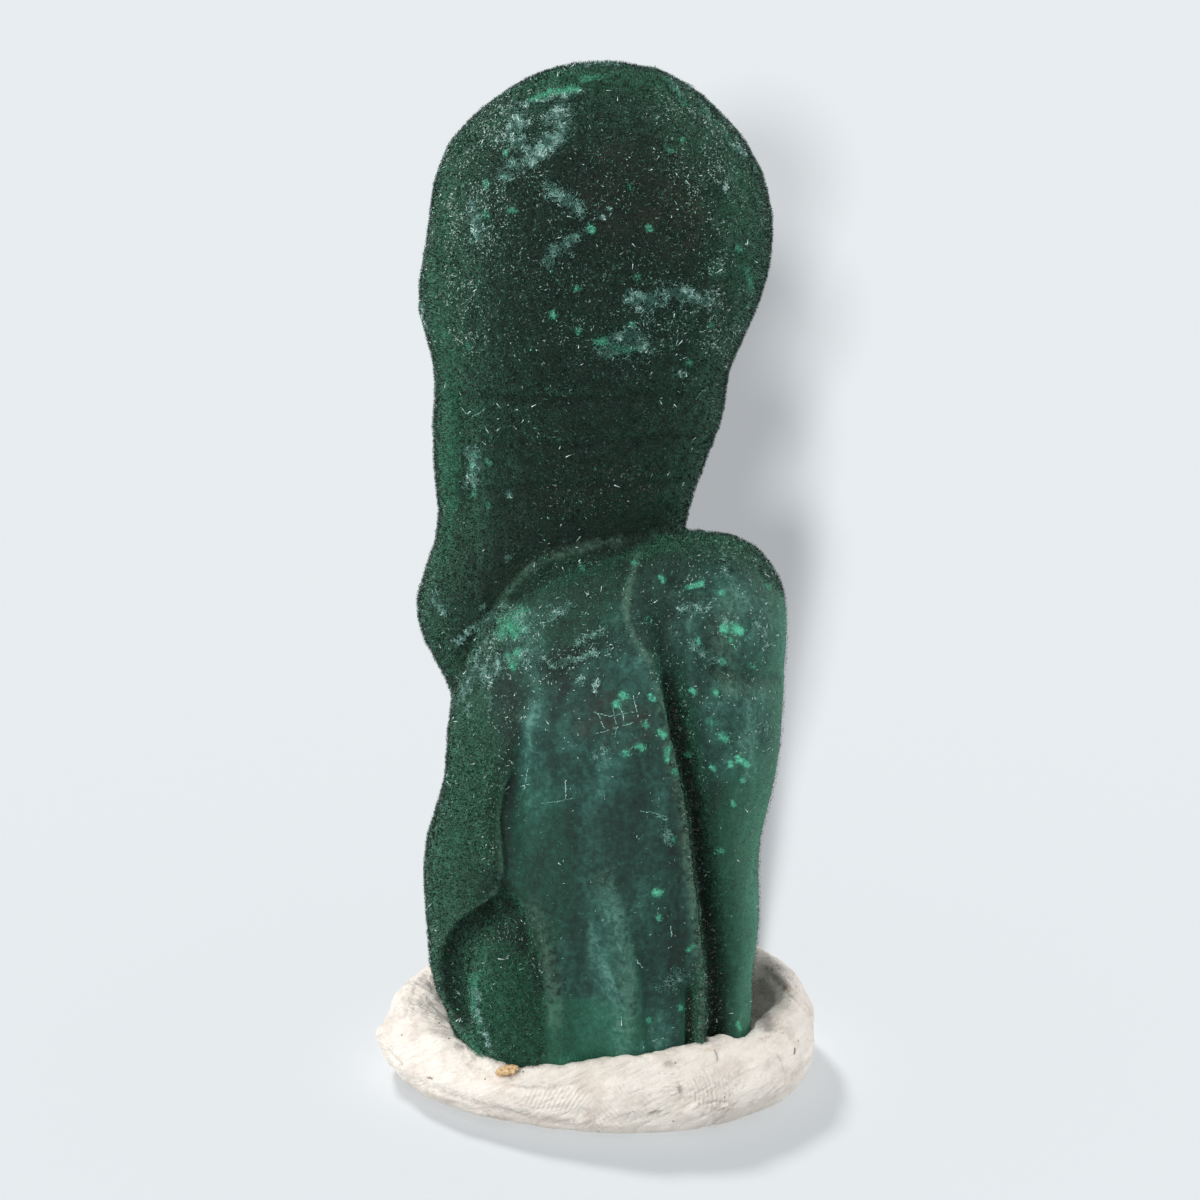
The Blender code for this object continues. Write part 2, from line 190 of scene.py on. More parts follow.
# Marks that the photograph shows on the stone: their kind, half their width and their strength, and
# then the pixels that each runs through
MARKS = (
    ("spark", 22, 0.6, ((560, 500), (600, 492), (640, 496))),
    ("spark", 20, 0.55, ((600, 478), (640, 474))),
    ("mint", 4, 0.8, ((508, 655), (514, 668), (520, 650))),
    ("frost", 4, 0.8, ((470, 448), (478, 462), (472, 476))),
    ("mint", 2, 0.9, ((473, 452), (476, 458))),
    ("mint", 5, 0.5, ((480, 976), (474, 990), (478, 1010), (482, 1030))),
    ("frost", 3, 0.8, ((478, 990), (480, 1010), (486, 1030), (492, 1050))),
    ("mint", 4.5, 0.95, ((530, 101), (541, 97), (552, 92), (560, 93), (574, 88))),
    ("frost", 3, 0.9, ((524, 106), (540, 102), (556, 98), (580, 94))),
    ("mint", 3, 0.8, ((583, 80), (600, 79))),
    ("mint", 4, 0.75, ((664, 80), (676, 92), (684, 104))),
    ("mint", 4, 0.6, ((700, 110), (722, 130), (734, 152))),
    ("frost", 4, 1.0, ((730, 141), (737, 149), (742, 157))),
    ("frost", 8, 0.9, ((512, 108), (520, 122), (514, 138), (528, 150))),
    ("frost", 7, 0.9, ((556, 112), (566, 124), (560, 138), (545, 148), (532, 160))),
    ("frost", 6, 0.55, ((545, 190), (560, 196), (574, 204), (580, 214))),
    ("frost", 6, 0.7, ((470, 205), (480, 222), (478, 240))),
    ("frost", 5, 0.5, ((548, 264), (556, 250), (580, 236))),
    ("frost", 5, 0.7, ((628, 296), (650, 300), (676, 292), (694, 298))),
    ("frost", 7, 0.9, ((612, 342), (630, 332), (644, 344))),
    ("frost", 6, 0.6, ((474, 450), (480, 466), (474, 484))),
    ("mint", 5, 1.0, ((536, 101), (548, 96), (562, 93), (579, 91))),
    ("mint", 4, 0.7, ((582, 80), (605, 77))),
    ("frost", 2, 0.6, ((584, 68), (600, 66), (617, 67))),
    ("mint", 4, 0.5, ((503, 96), (519, 92))),
    ("frost", 6, 0.7, ((511, 130), (524, 121))),
    ("frost", 6, 0.8, ((546, 120), (556, 113), (568, 111))),
    ("frost", 6, 0.6, ((534, 157), (548, 146), (563, 139))),
    ("frost", 6, 0.5, ((504, 176), (519, 165))),
    ("frost", 4, 0.8, ((476, 226), (477, 231))),
    ("frost", 6, 0.7, ((636, 299), (652, 305))),
    ("frost", 6, 0.9, ((676, 297), (690, 293), (706, 298))),
    ("frost", 3, 0.6, ((659, 77), (670, 84), (682, 99))),
    ("frost", 3, 0.6, ((699, 100), (706, 118), (712, 125))),
    ("mint", 4, 1.0, ((487, 182), (487, 185))),
    ("mint", 3, 0.9, ((506, 153), (507, 155))),
    ("mint", 3, 0.8, ((505, 176), (505, 178))),
    ("mint", 4, 0.9, ((486, 213), (488, 216))),
    ("mint", 3, 0.8, ((509, 211), (515, 211))),
    ("mint", 5, 1.0, ((590, 227), (592, 231))),
    ("mint", 4, 0.9, ((648, 227), (650, 230))),
    ("mint", 5, 0.5, ((629, 186), (632, 187))),
    ("mint", 3, 0.9, ((576, 287), (577, 289))),
    ("mint", 4, 1.0, ((552, 313), (554, 317))),
    ("mint", 4, 0.9, ((577, 329), (579, 331))),
    ("mint", 6, 0.9, ((596, 341), (605, 342))),
    ("mint", 5, 0.6, ((612, 345), (628, 349), (645, 346))),
    ("frost", 5, 0.6, ((600, 350), (622, 352))),
    ("mint", 4, 0.9, ((631, 323), (633, 326))),
    ("mint", 6, 0.5, ((635, 276), (640, 278))),
    ("mint", 4, 0.9, ((738, 248), (740, 251))),
    ("mint", 6, 0.7, ((745, 266), (748, 278), (750, 290))),
    ("mint", 8, 0.45, ((712, 270), (718, 271))),
    ("mint", 4, 0.8, ((687, 360), (688, 363))),
    ("mint", 3, 0.8, ((710, 324), (711, 326))),
    ("mint", 4, 0.7, ((444, 332), (446, 336))),
    ("mint", 4, 0.7, ((468, 345), (470, 348))),
    ("mint", 7, 0.5, ((667, 149), (672, 151))),
    ("mint", 4, 0.7, ((680, 140), (683, 142))),
    ("frost", 3, 1.0, ((600, 215), (602, 218))),
    ("frost", 2, 0.9, ((608, 208), (610, 210))),
    ("frost", 4, 0.9, ((678, 374), (681, 377))),
    ("frost", 4, 1.0, ((730, 144), (737, 148), (743, 154))),
    ("frost", 3, 0.8, ((717, 129), (720, 131))),
    ("frost", 2, 0.9, ((724, 178), (724, 190))),
    ("frost", 4, 0.8, ((425, 304), (426, 318), (427, 330))),
    ("mint", 4, 0.9, ((473, 463), (473, 477))),
    ("mint", 3, 0.9, ((474, 490), (474, 494))),
    ("mint", 3, 0.8, ((488, 461), (491, 463))),
    ("mint", 4, 0.5, ((488, 503), (490, 506))),
    ("frost", 3, 0.9, ((507, 493), (509, 495))),
    ("frost", 3, 0.7, ((480, 604), (484, 606))),
    ("frost", 3, 0.6, ((509, 555), (510, 558))),
    ("scratch", 1.0, 0.9, ((462, 405), (468, 413), (474, 410))),
    ("scratch", 1.0, 0.8, ((474, 416), (482, 412), (486, 408))),
    ("scratch", 1.0, 0.8, ((694, 398), (701, 390), (707, 386))),
    ("spark", 7, 0.5, ((668, 700), (674, 730), (680, 762), (690, 805))),
    ("spark", 5, 0.6, ((692, 815), (697, 850), (702, 892))),
    ("spark", 6, 0.7, ((706, 905), (711, 940), (715, 975), (717, 1010), (716, 1040))),
    ("spark", 3, 0.8, ((690, 995), (689, 1020), (688, 1040))),
    ("spark", 2, 0.9, ((681, 797), (686, 835), (690, 870), (693, 900), (698, 935))),
    ("spark", 3, 0.5, ((637, 181), (640, 183))),
    ("spark", 3, 0.5, ((607, 201), (610, 203))),
    ("frost", 5, 0.5, ((434, 592), (440, 602), (447, 612))),
    ("frost", 3, 0.6, ((494, 613), (480, 624), (467, 634), (455, 646))),
    ("mint", 12, 0.8, ((501, 634), (508, 622), (520, 612))),
    ("mint", 10, 0.7, ((503, 618), (515, 632), (524, 626))),
    ("frost", 6, 0.6, ((506, 612), (522, 618), (526, 632))),
    ("mint", 6, 0.9, ((518, 652), (521, 657))),
    ("frost", 4, 1.0, ((519, 653), (521, 656))),
    ("frost", 7, 0.5, ((454, 702), (463, 687), (473, 673), (483, 653), (492, 636))),
    ("frost", 6, 0.7, ((454, 702), (470, 688), (486, 675), (503, 664), (517, 656), (529, 656))),
    ("frost", 4, 0.6, ((529, 656), (544, 664))),
    ("frost", 3, 0.6, ((553, 666), (570, 660), (590, 655), (609, 652))),
    ("frost", 5, 0.6, ((542, 623), (556, 613), (573, 608))),
    ("frost", 4, 0.6, ((578, 640), (601, 633))),
    ("frost", 2, 0.7, ((492, 682), (491, 709))),
    ("frost", 3, 0.6, ((471, 702), (470, 717))),
    ("mint", 4, 0.7, ((581, 567), (583, 570))),
    ("mint", 4, 0.8, ((634, 562), (636, 565))),
    ("mint", 4, 0.9, ((661, 578), (663, 581))),
    ("mint", 3, 0.9, ((688, 588), (702, 584))),
    ("mint", 4, 0.8, ((721, 593), (723, 596))),
    ("frost", 6, 0.7, ((684, 612), (696, 608), (706, 606))),
    ("mint", 6, 1.0, ((723, 629), (731, 627), (740, 630))),
    ("frost", 4, 0.6, ((722, 622), (736, 620))),
    ("mint", 4, 0.8, ((697, 640), (699, 643))),
    ("frost", 5, 0.5, ((692, 646), (704, 652), (715, 656))),
    ("mint", 4, 0.8, ((721, 658), (723, 661))),
    ("mint", 4, 0.7, ((751, 664), (753, 667))),
    ("mint", 4, 0.7, ((729, 638), (731, 641))),
    ("frost", 3, 0.6, ((726, 554), (725, 573))),
    ("mint", 4, 0.7, ((766, 586), (768, 589))),
    ("mint", 5, 0.45, ((648, 618), (650, 620))),
    ("frost", 3, 0.7, ((782, 597), (785, 606), (786, 613))),
    ("frost", 5, 0.5, ((752, 620), (760, 632), (765, 645))),
    ("frost", 5, 0.4, ((758, 721), (766, 734), (777, 748))),
    ("frost", 4, 0.9, ((582, 679), (584, 682))),
    ("frost", 4, 1.0, ((597, 679), (599, 682))),
    ("frost", 3, 0.8, ((594, 684), (596, 686))),
    ("mint", 5, 0.45, ((537, 685), (540, 687))),
    ("mint", 5, 0.9, ((622, 694), (626, 697))),
    ("mint", 4, 0.9, ((614, 703), (617, 706))),
    ("mint", 4, 0.8, ((651, 696), (653, 699))),
    ("mint", 4, 0.9, ((645, 723), (647, 726))),
    ("mint", 4, 0.9, ((661, 732), (663, 735))),
    ("mint", 5, 0.8, ((637, 746), (643, 747))),
    ("mint", 4, 0.8, ((624, 751), (626, 754))),
    ("mint", 4, 0.8, ((667, 748), (667, 759))),
    ("mint", 4, 0.7, ((673, 770), (675, 774))),
    ("scratch", 1.0, 0.8, ((598, 713), (601, 721), (605, 729))),
    ("scratch", 1.0, 0.8, ((619, 705), (622, 712), (624, 720))),
    ("scratch", 1.0, 0.8, ((633, 696), (636, 706), (638, 717))),
    ("scratch", 1.0, 0.6, ((596, 733), (612, 729), (634, 722))),
    ("scratch", 1.0, 0.6, ((594, 712), (610, 716), (636, 711))),
    ("scratch", 1.0, 0.6, ((613, 708), (616, 724), (615, 738))),
    ("frost", 3, 0.6, ((594, 756), (606, 750), (618, 746))),
    ("scratch", 1.0, 0.8, ((525, 790), (528, 779), (530, 767))),
    ("scratch", 1.0, 0.8, ((522, 786), (532, 784))),
    ("scratch", 1.0, 0.9, ((566, 779), (566, 799))),
    ("scratch", 0.8, 0.5, ((542, 803), (558, 801), (574, 797))),
    ("scratch", 0.8, 0.5, ((640, 810), (653, 812), (666, 816))),
    ("frost", 4, 0.4, ((662, 816), (665, 828), (667, 841))),
    ("mint", 4, 0.6, ((672, 838), (674, 841))),
    ("mint", 4, 0.9, ((692, 690), (694, 693))),
    ("mint", 4, 0.8, ((714, 692), (716, 695))),
    ("mint", 5, 0.6, ((709, 721), (712, 724))),
    ("mint", 6, 0.7, ((719, 734), (726, 739))),
    ("mint", 4, 1.0, ((737, 757), (742, 761), (747, 766))),
    ("mint", 4, 0.9, ((728, 762), (730, 765))),
    ("mint", 4, 0.8, ((712, 766), (714, 769))),
    ("mint", 4, 0.8, ((741, 778), (743, 781))),
    ("mint", 4, 0.8, ((686, 753), (688, 756))),
    ("mint", 4, 0.7, ((732, 802), (734, 805))),
    ("mint", 3, 0.7, ((717, 850), (723, 850))),
    ("mint", 6, 1.0, ((655, 892), (660, 893))),
    ("mint", 4, 0.8, ((657, 917), (659, 920))),
    ("scratch", 1.2, 1.0, ((634, 959), (642, 968))),
    ("frost", 5, 0.6, ((673, 970), (681, 976), (686, 980))),
    ("frost", 7, 0.35, ((663, 982), (670, 985))),
    ("mint", 4, 0.7, ((697, 973), (699, 976))),
    ("mint", 4, 0.7, ((679, 1005), (681, 1008))),
    ("mint", 4, 0.7, ((648, 1019), (650, 1022))),
    ("scratch", 1.0, 0.9, ((650, 1040), (656, 1040))),
    ("scratch", 1.0, 0.8, ((670, 925), (671, 937))),
    ("mint", 5, 0.8, ((738, 1023), (739, 1028))),
    ("mint", 4, 0.6, ((752, 978), (754, 981))),
    ("mint", 2.5, 0.7, ((688, 949), (694, 945))),
    ("mint", 7, 0.7, ((472, 976), (476, 990), (473, 1004), (479, 1018))),
    ("mint", 6, 0.6, ((466, 1032), (474, 1044), (484, 1058))),
    ("mint", 4, 0.8, ((488, 1060), (490, 1062))),
    ("frost", 4, 0.5, ((473, 985), (480, 1000))),
    ("frost", 3, 0.6, ((430, 938), (432, 943))),
    ("mint", 6, 0.35, ((560, 1060), (572, 1056), (586, 1060))),
)

# Creases and ridges of the front: their kind, how far they reach to the left and right of the line
# in pixels, their strength, and then the pixels that they run through
# Besides their relief, the deep lines carry painted shade into the creases and grooves and above
# the top of the lobe, and the ridge lines a painted highlight along the ridges
LINES = (
    ("deep", 5, 14, 1.0, ((663, 655), (668, 700), (681, 763), (692, 815), (699, 870), (707, 930),
     (712, 975), (714, 1045))),
    ("ridge_and_highlight", 5, 4, 0.9, ((655, 668), (665, 715), (674, 765), (682, 797), (687, 846), (692, 892),
     (697, 930), (701, 968), (701, 1040))),
    ("deep", 4, 4, 0.9, ((690, 985), (689, 1010), (688, 1044))),
    ("ridge_and_highlight", 3, 3, 0.9, ((511, 759), (502, 786), (498, 816), (500, 850), (501, 873), (494, 892),
     (477, 905), (458, 917), (445, 936), (438, 960), (441, 983), (448, 1010), (462, 1040))),
    ("deep", 3, 7, 0.8, ((514, 770), (506, 795), (502, 820), (504, 850), (505, 872))),
    ("deep", 5, 14, 1.0, ((500, 897), (490, 904), (477, 914), (463, 926), (451, 946), (447, 976),
     (453, 1006), (464, 1036))),
    ("deep", 9, 7, 0.8, ((500, 870), (504, 884), (512, 900), (522, 925), (528, 955))),
    ("ridge_and_highlight", 6, 10, 0.5, ((524, 900), (537, 922), (546, 953), (551, 990), (553, 1020))),
    ("ridge_and_highlight", 14, 5, 0.45, ((602, 866), (613, 892), (622, 922), (628, 953), (630, 985),
     (631, 1030))),
    ("deep", 4, 12, 0.4, ((612, 870), (628, 905), (638, 940), (643, 985), (645, 1030))),
    ("deep", 12, 12, 0.35, ((578, 915), (588, 955), (592, 1000))),
    ("deep", 5, 5, 0.5, ((446, 392), (520, 398), (600, 398), (690, 392))),
    ("deep", 5, 5, 0.45, ((470, 440), (560, 444), (640, 440), (700, 434))),
    ("deep", 6, 6, 0.5, ((450, 492), (540, 487), (620, 484), (690, 478))),
    ("deep", 2, 28, 0.95, ((452, 712), (456, 690), (466, 660), (481, 630), (497, 605), (515, 580),
     (549, 555), (585, 545), (630, 536), (688, 531))),
    ("ridge_and_highlight", 8, 2, 0.7, ((456, 690), (466, 660), (481, 630), (497, 605), (515, 580), (549, 555),
     (585, 545), (630, 536))),
    ("deep", 8, 14, 0.6, ((672, 575), (664, 610), (662, 640))),
    ("deep", 8, 8, 0.5, ((690, 655), (720, 672), (755, 680), (780, 676))),
    ("ridge_and_highlight", 3, 4, 0.8, ((640, 545), (632, 575), (626, 610), (636, 640), (655, 668))),
    ("ridge_and_highlight", 10, 14, 0.5, ((735, 590), (726, 615), (722, 660), (730, 700))),
)

# Smooth parts of the front: how many pixels the edge of each fades over, its strength, and then the
# pixels round it
SMOOTH = (
    (10, 1.0, ((509, 765), (501, 800), (499, 830), (501, 873), (511, 888), (528, 912), (541, 945),
     (547, 985), (546, 1070), (688, 1062), (690, 985), (697, 960), (692, 900), (686, 850),
     (679, 800), (671, 760), (662, 700), (645, 655), (600, 650), (552, 680), (524, 715))),
    (14, 0.85, ((705, 570), (750, 570), (800, 610), (810, 700), (800, 760), (790, 900), (780, 1050),
     (726, 1050), (726, 980), (722, 900), (714, 830), (702, 770), (690, 700), (680, 650),
     (690, 600))),
    (46, 0.6, ((476, 700), (496, 650), (530, 600), (580, 570), (660, 552), (740, 556), (776, 600),
     (770, 660), (690, 690), (640, 720), (560, 740), (500, 760))),
)

# Areas of the front, by the pixels in the photograph: their kind, their middle, half their width
# and height, and their strength
# The dark areas are partly the stone's own darker colour and partly painted shade below the head,
# across the neck and above the lobe; the green areas are partly its own green and partly a painted
# highlight along its left and right edges
AREAS = (
    ("dark_and_shade", 610, 160, 60, 110, 0.6),
    ("dark_and_shade", 600, 270, 110, 90, 0.35),
    ("dark_and_shade", 590, 420, 130, 80, 0.75),
    ("dark_and_shade", 590, 372, 130, 20, 0.6),
    ("dark_and_shade", 600, 500, 130, 50, 0.9),
    ("dark_and_shade", 560, 590, 60, 20, 0.3),
    ("dark_and_shade", 476, 575, 34, 52, 0.9),
    ("dark_and_shade", 540, 518, 70, 30, 0.9),
    ("dark_and_shade", 470, 640, 20, 40, 0.7),
    ("dark_and_shade", 470, 900, 40, 35, 0.8),
    ("dark_and_shade", 450, 640, 24, 70, 0.4),
    ("dark_and_shade", 628, 838, 44, 46, 0.5),
    ("dark_and_shade", 700, 850, 22, 60, 0.3),
    ("dark_and_shade", 450, 800, 26, 90, 0.35),
    ("pale", 560, 700, 50, 60, 0.8),
    ("pale", 462, 216, 34, 46, 0.7),
    ("pale", 500, 190, 70, 60, 0.35),
    ("pale", 530, 120, 50, 34, 0.8),
    ("pale", 690, 110, 50, 40, 0.6),
    ("pale", 720, 200, 30, 90, 0.45),
    ("pale", 690, 310, 70, 40, 0.5),
    ("pale", 600, 345, 60, 26, 0.4),
    ("pale", 450, 300, 30, 60, 0.4),
    ("pale", 500, 640, 50, 40, 0.7),
    ("pale", 600, 500, 80, 22, 0.4),
    ("pale", 545, 765, 42, 40, 0.5),
    ("pale", 600, 700, 80, 60, 0.45),
    ("pale", 715, 620, 50, 50, 0.6),
    ("pale", 735, 730, 40, 60, 0.5),
    ("green_and_rim_light", 440, 440, 20, 130, 1.3),
    ("green_and_rim_light", 420, 200, 30, 120, 0.6),
    ("green_and_rim_light", 600, 70, 120, 22, 0.8),
    ("green_and_rim_light", 745, 220, 22, 120, 0.6),
    ("green_and_rim_light", 460, 800, 44, 130, 0.6),
    ("green_and_rim_light", 500, 985, 34, 44, 1.0),
    ("green_and_rim_light", 475, 1010, 26, 60, 0.6),
    ("green_and_rim_light", 560, 1032, 90, 36, 0.9),
    ("green_and_rim_light", 745, 900, 36, 150, 0.7),
    ("green_and_rim_light", 540, 870, 36, 90, 0.35),
    ("green_and_rim_light", 560, 600, 70, 50, 0.4),
    ("red", 674, 218, 34, 40, 0.8),
    ("red", 640, 190, 60, 60, 0.4),
    ("red", 612, 722, 40, 30, 0.8),
    ("red", 716, 297, 26, 20, 0.5),
)

# Folds, creases and pits of the putty: their height, how far they reach in pixels, and the pixels
# that they run through
PUTTY_FOLDS = (
    (-0.3, 1.8, ((495, 1083), (512, 1084), (530, 1086), (549, 1087), (565, 1085), (585, 1080),
     (593, 1076))),
    (0.45, 3.2, ((507, 1077), (517, 1074), (530, 1070))),
    (0.14, 4.0, ((500, 1078), (530, 1080), (560, 1079), (585, 1073))),
    (-0.3, 1.5, ((506, 1071), (510, 1077), (515, 1081))),
    (-0.28, 1.8, ((472, 1067), (484, 1071), (493, 1076))),
    (-0.16, 3.0, ((446, 1060), (457, 1056), (468, 1054))),
    (-0.4, 2.0, ((713, 1047), (717, 1051), (719, 1057), (718, 1063))),
    (0.2, 5.0, ((698, 1052), (706, 1054), (711, 1059))),
    (-0.4, 2.0, ((664, 1064), (670, 1062), (676, 1062))),
    (-0.35, 2.5, ((651, 1115), (657, 1113))),
    (-0.3, 2.5, ((680, 1084), (682, 1094))),
    (-0.3, 1.5, ((759, 965), (773, 978), (787, 992), (797, 1001), (806, 1011), (815, 1024))),
    (0.15, 3.5, ((765, 963), (780, 977), (795, 991), (806, 1003))),
    (-0.3, 1.6, ((816, 1060), (811, 1070), (806, 1077), (800, 1088), (793, 1097), (784, 1103))),
    (-0.3, 1.8, ((758, 1039), (763, 1036), (775, 1034))),
    (-0.25, 2.5, ((386, 1047), (394, 1058), (402, 1066))),
    (-0.2, 1.3, ((402, 998), (408, 996))),
    (-0.14, 6.0, ((735, 1060), (739, 1080), (738, 1098))),
    (-0.12, 6.0, ((610, 1066), (604, 1085), (600, 1100))),
    (-0.12, 5.0, ((440, 1052), (430, 1066), (424, 1076))),
    (-0.22, 2.2, ((776, 1052), (783, 1062), (785, 1074))),
    (-0.2, 1.6, ((530, 1098), (552, 1094), (574, 1089))),
    (-0.16, 1.4, ((540, 1104), (560, 1099), (580, 1093))),
    (-0.2, 1.6, ((700, 1106), (716, 1102), (730, 1103))),
)

# Stains on the putty, and painted shade in its gap and folds: their kind, reach in pixels,
# strength, and the pixels that they run through
STAINS = (
    ("grime_and_shade", 7, 0.5, ((416, 1001), (424, 1004))),
    ("grime_and_shade", 12, 0.45, ((420, 982), (437, 990))),
    ("grime_and_shade", 8, 0.45, ((437, 1012), (441, 1030), (450, 1042))),
    ("grime_and_shade", 5, 0.7, ((455, 1045), (464, 1048))),
    ("grime_and_shade", 4, 0.7, ((680, 1086), (682, 1094))),
    ("grime_and_shade", 5, 0.6, ((651, 1114), (658, 1112))),
    ("grime_and_shade", 7, 0.4, ((412, 1074), (450, 1092), (482, 1103), (520, 1113), (560, 1121),
     (600, 1128))),
    ("grime_and_shade", 3, 0.5, ((664, 1065), (676, 1063))),
    # Painted shade on the inner wall, and in the gap between the ring and the stone at the right
    ("grime_and_shade", 10, 0.2, ((765, 985), (790, 1008))),
    ("grime_and_shade", 10, 0.9, ((764, 1012), (768, 1032))),
    # Painted shadow along the fold of the front lip
    ("grime_and_shade", 2, 0.5, ((506, 1085), (530, 1087), (549, 1088), (565, 1086))),
    ("rust", 2.5, 0.8, ((762, 966), (770, 969), (778, 971))),
    ("rust", 4, 0.7, ((783, 986), (790, 992))),
    ("rust", 5, 0.5, ((698, 1048), (711, 1051))),
    ("rust", 2, 0.5, ((779, 1073), (780, 1075))),
    ("rust", 2, 0.6, ((667, 1128), (669, 1128))),
    ("rust", 9, 0.3, ((388, 1040), (396, 1056), (408, 1070))),
    ("rust", 8, 0.25, ((800, 1090), (770, 1108), (730, 1122))),
    ("dot", 1.8, 1.0, ((390, 1015), (391, 1017))),
    ("dot", 1.6, 1.0, ((795, 1048), (795, 1054))),
    ("dot", 1.3, 0.8, ((799, 1039), (799, 1043))),
    ("dot", 1.4, 0.9, ((643, 1098), (644, 1100))),
    ("dot", 1.4, 0.7, ((414, 989), (414, 990))),
    ("dot", 1.4, 0.7, ((426, 1077), (433, 1079))),
    ("dot", 1.3, 0.6, ((471, 1085), (472, 1085))),
    ("dot", 1.6, 0.7, ((486, 1105), (487, 1105))),
    ("dot", 1.3, 0.7, ((509, 1108), (510, 1108))),
    ("dot", 1.3, 0.7, ((704, 1075), (705, 1076))),
    ("dot", 1.3, 0.6, ((695, 1113), (696, 1113))),
    ("dot", 1.3, 0.6, ((415, 1020), (416, 1020))),
    ("dot", 1.3, 0.6, ((437, 1039), (436, 1040))),
    ("dot", 1.3, 0.6, ((611, 1073), (612, 1074))),
)

# Fingerprints in the putty: the middle that their ridges curve round, the middle of the print and
# half its width and height, all in pixels
PRINTS = (
    ((690, 1040), (618, 1108), (44, 26)),
    ((650, 1150), (556, 1098), (34, 14)),
    ((660, 1100), (712, 1086), (26, 24)),
    ((670, 1030), (671, 1078), (13, 16)),
)
RIDGE_SPACING = 0.46
RIDGE_HEIGHT = 0.022

# The putty's usual radius, which turns an angle into a length along the ring
PUTTY_MIDDLE = 21

# Drawn-out folds of the putty: the height of each layer, and its spread along and across the ring
DRAWN_OUT = (
    (0.2, 7.5, 1.3),
    (0.06, 2.6, 0.42),
)

# Thin creases of the putty: the slant of each set in degrees, and where its noise is read
CREASES = (12, 1), (-28, 20), (34, 40)
CREASE_DEPTH = 0.11

# The stone's skin: how far it lies inside the solid, which the needles' tips reach, and its grain
SUNK = 0.28
STONE_GRAIN = 0.455

# Rings of each skin and the points round each ring
FINGER_GRID = 230, 260
LOBE_GRID = 190, 420
PUTTY_RINGS, PUTTY_AROUND = 74, 880

# Fibres in each of the pieces that hold them, flecks strewn over the stone and clusters behind it
NEEDLE_COUNT = 145000
STRAND_COUNT = 140000
STREWN_COUNT = 16000
HIDDEN_CLUSTERS = 260

# Kinds of fleck, the most of them at each sample of a mark, and how far the samples of each kind of
# mark wander to either side, as a share of its half width
KINDS = "frost", "mint", "spark"
FLECKS = {"frost": 14, "mint": 8, "spark": 1.2}
WANDER = {"frost": 0.55, "spark": 0.7, "mint": 0.15, "scratch": 0.3}

# Colours of the fibres, from the darkest tone to the palest
NEEDLES = (0.0, (1, 5, 4)), (0.3, (5, 22, 15)), (0.65, (29, 90, 65)), (1.0, (112, 204, 160))
STRANDS = (0.0, (3, 10, 7)), (0.2, (20, 50, 38)), (0.5, (84, 130, 110)), (0.9, (196, 222, 211))
SHEEN = 120, 230, 180


def spline(knots, values, at):
    """A natural cubic curve through the values at the knots, read at the places given."""
    knots, values, at = (np.asarray(x, float) for x in (knots, values, at))
    step = np.diff(knots)
    slope = np.diff(values) / step
    n = len(knots)
    system = np.eye(n)
    target = np.zeros(n)
    for i in range(1, n - 1):
        system[i, i - 1 : i + 2] = step[i - 1], 2 * (step[i - 1] + step[i]), step[i]
        target[i] = 6 * (slope[i] - slope[i - 1])
    bend = np.linalg.solve(system, target)
    i = np.clip(np.searchsorted(knots, at) - 1, 0, n - 2)
    h, a, b = step[i], knots[i + 1] - at, at - knots[i]
    return (
        (bend[i] * a**3 + bend[i + 1] * b**3) / (6 * h)
        + (values[i] / h - bend[i] * h / 6) * a
        + (values[i + 1] / h - bend[i + 1] * h / 6) * b
    )


def lengths_along(path):
    """How far along the path each of its points lies."""
    return np.append(0, np.cumsum(np.hypot(*np.diff(path, axis=0).T)))


def through(rows, count, measured=(0, 1)):
    """A smooth curve through the rows, evenly spaced by its length over the measured columns."""
    rows = np.array(rows, float)
    knots = lengths_along(rows[:, list(measured)])
    at = np.linspace(0, knots[-1], count)
    return np.stack([spline(knots, column, at) for column in rows.T], axis=1)


def eased(x):
    """0 below 0, 1 above 1 and smooth between."""
    x = np.clip(x, 0, 1)
    return x * x * (3 - 2 * x)


def lofted(rows, rings, around):
    """A grid of points, one ring of them for each level, each ring a rounded box."""
    turn = np.arange(around) * 2 * math.pi / around
    across, deep = (
        np.sign(wave) * np.abs(wave) ** (2 / SQUARENESS)
        for wave in (np.cos(turn), np.sin(turn))
    )
    height, left, right, front, back = through(rows, rings, (0, 2)).T[:, :, None]
    x = (left + right) / 2 + (right - left) / 2 * across
    y = (front + back) / 2 + (back - front) / 2 * deep
    return np.stack([x, y, np.broadcast_to(height, x.shape)], axis=2)


def normals_of(grid):
    """The outward direction at each point of a grid of rings."""
    round_it = np.roll(grid, -1, axis=1) - np.roll(grid, 1, axis=1)
    up_it = np.gradient(grid, axis=0)
    normals = np.cross(round_it, up_it)
    return normals / np.maximum(np.linalg.norm(normals, axis=2, keepdims=True), 1e-9)


def beside(points, path):
    """How far each point lies to the right of the path in the front view, and how far along it."""
    path = through(path, 60)
    start, step = path[:-1], np.diff(path, axis=0)
    offset = points[:, None, :] - start[None]
    along = np.clip((offset * step).sum(2) / (step**2).sum(1), 0, 1)
    gap = offset - along[:, :, None] * step
    distance = np.hypot(gap[:, :, 0], gap[:, :, 1])
    nearest = distance.argmin(axis=1)
    rows = np.arange(len(points))
    side = np.sign(
        gap[rows, nearest, 1] * step[nearest, 0] - gap[rows, nearest, 0] * step[nearest, 1]
    )
    share = (nearest + along[rows, nearest]) / len(step)
    return side * distance[rows, nearest], share


def noise_over(points, spread, shift=(0, 0, 0)):
    """Smooth noise at each of the points, whose swells are about as wide as the spread."""
    return np.array([noise.noise(Vector(p) / spread + Vector(shift)) for p in points])


def lumps(points, height, spread):
    """A soft, uneven swelling over the points."""
    return height * noise_over(points, spread)


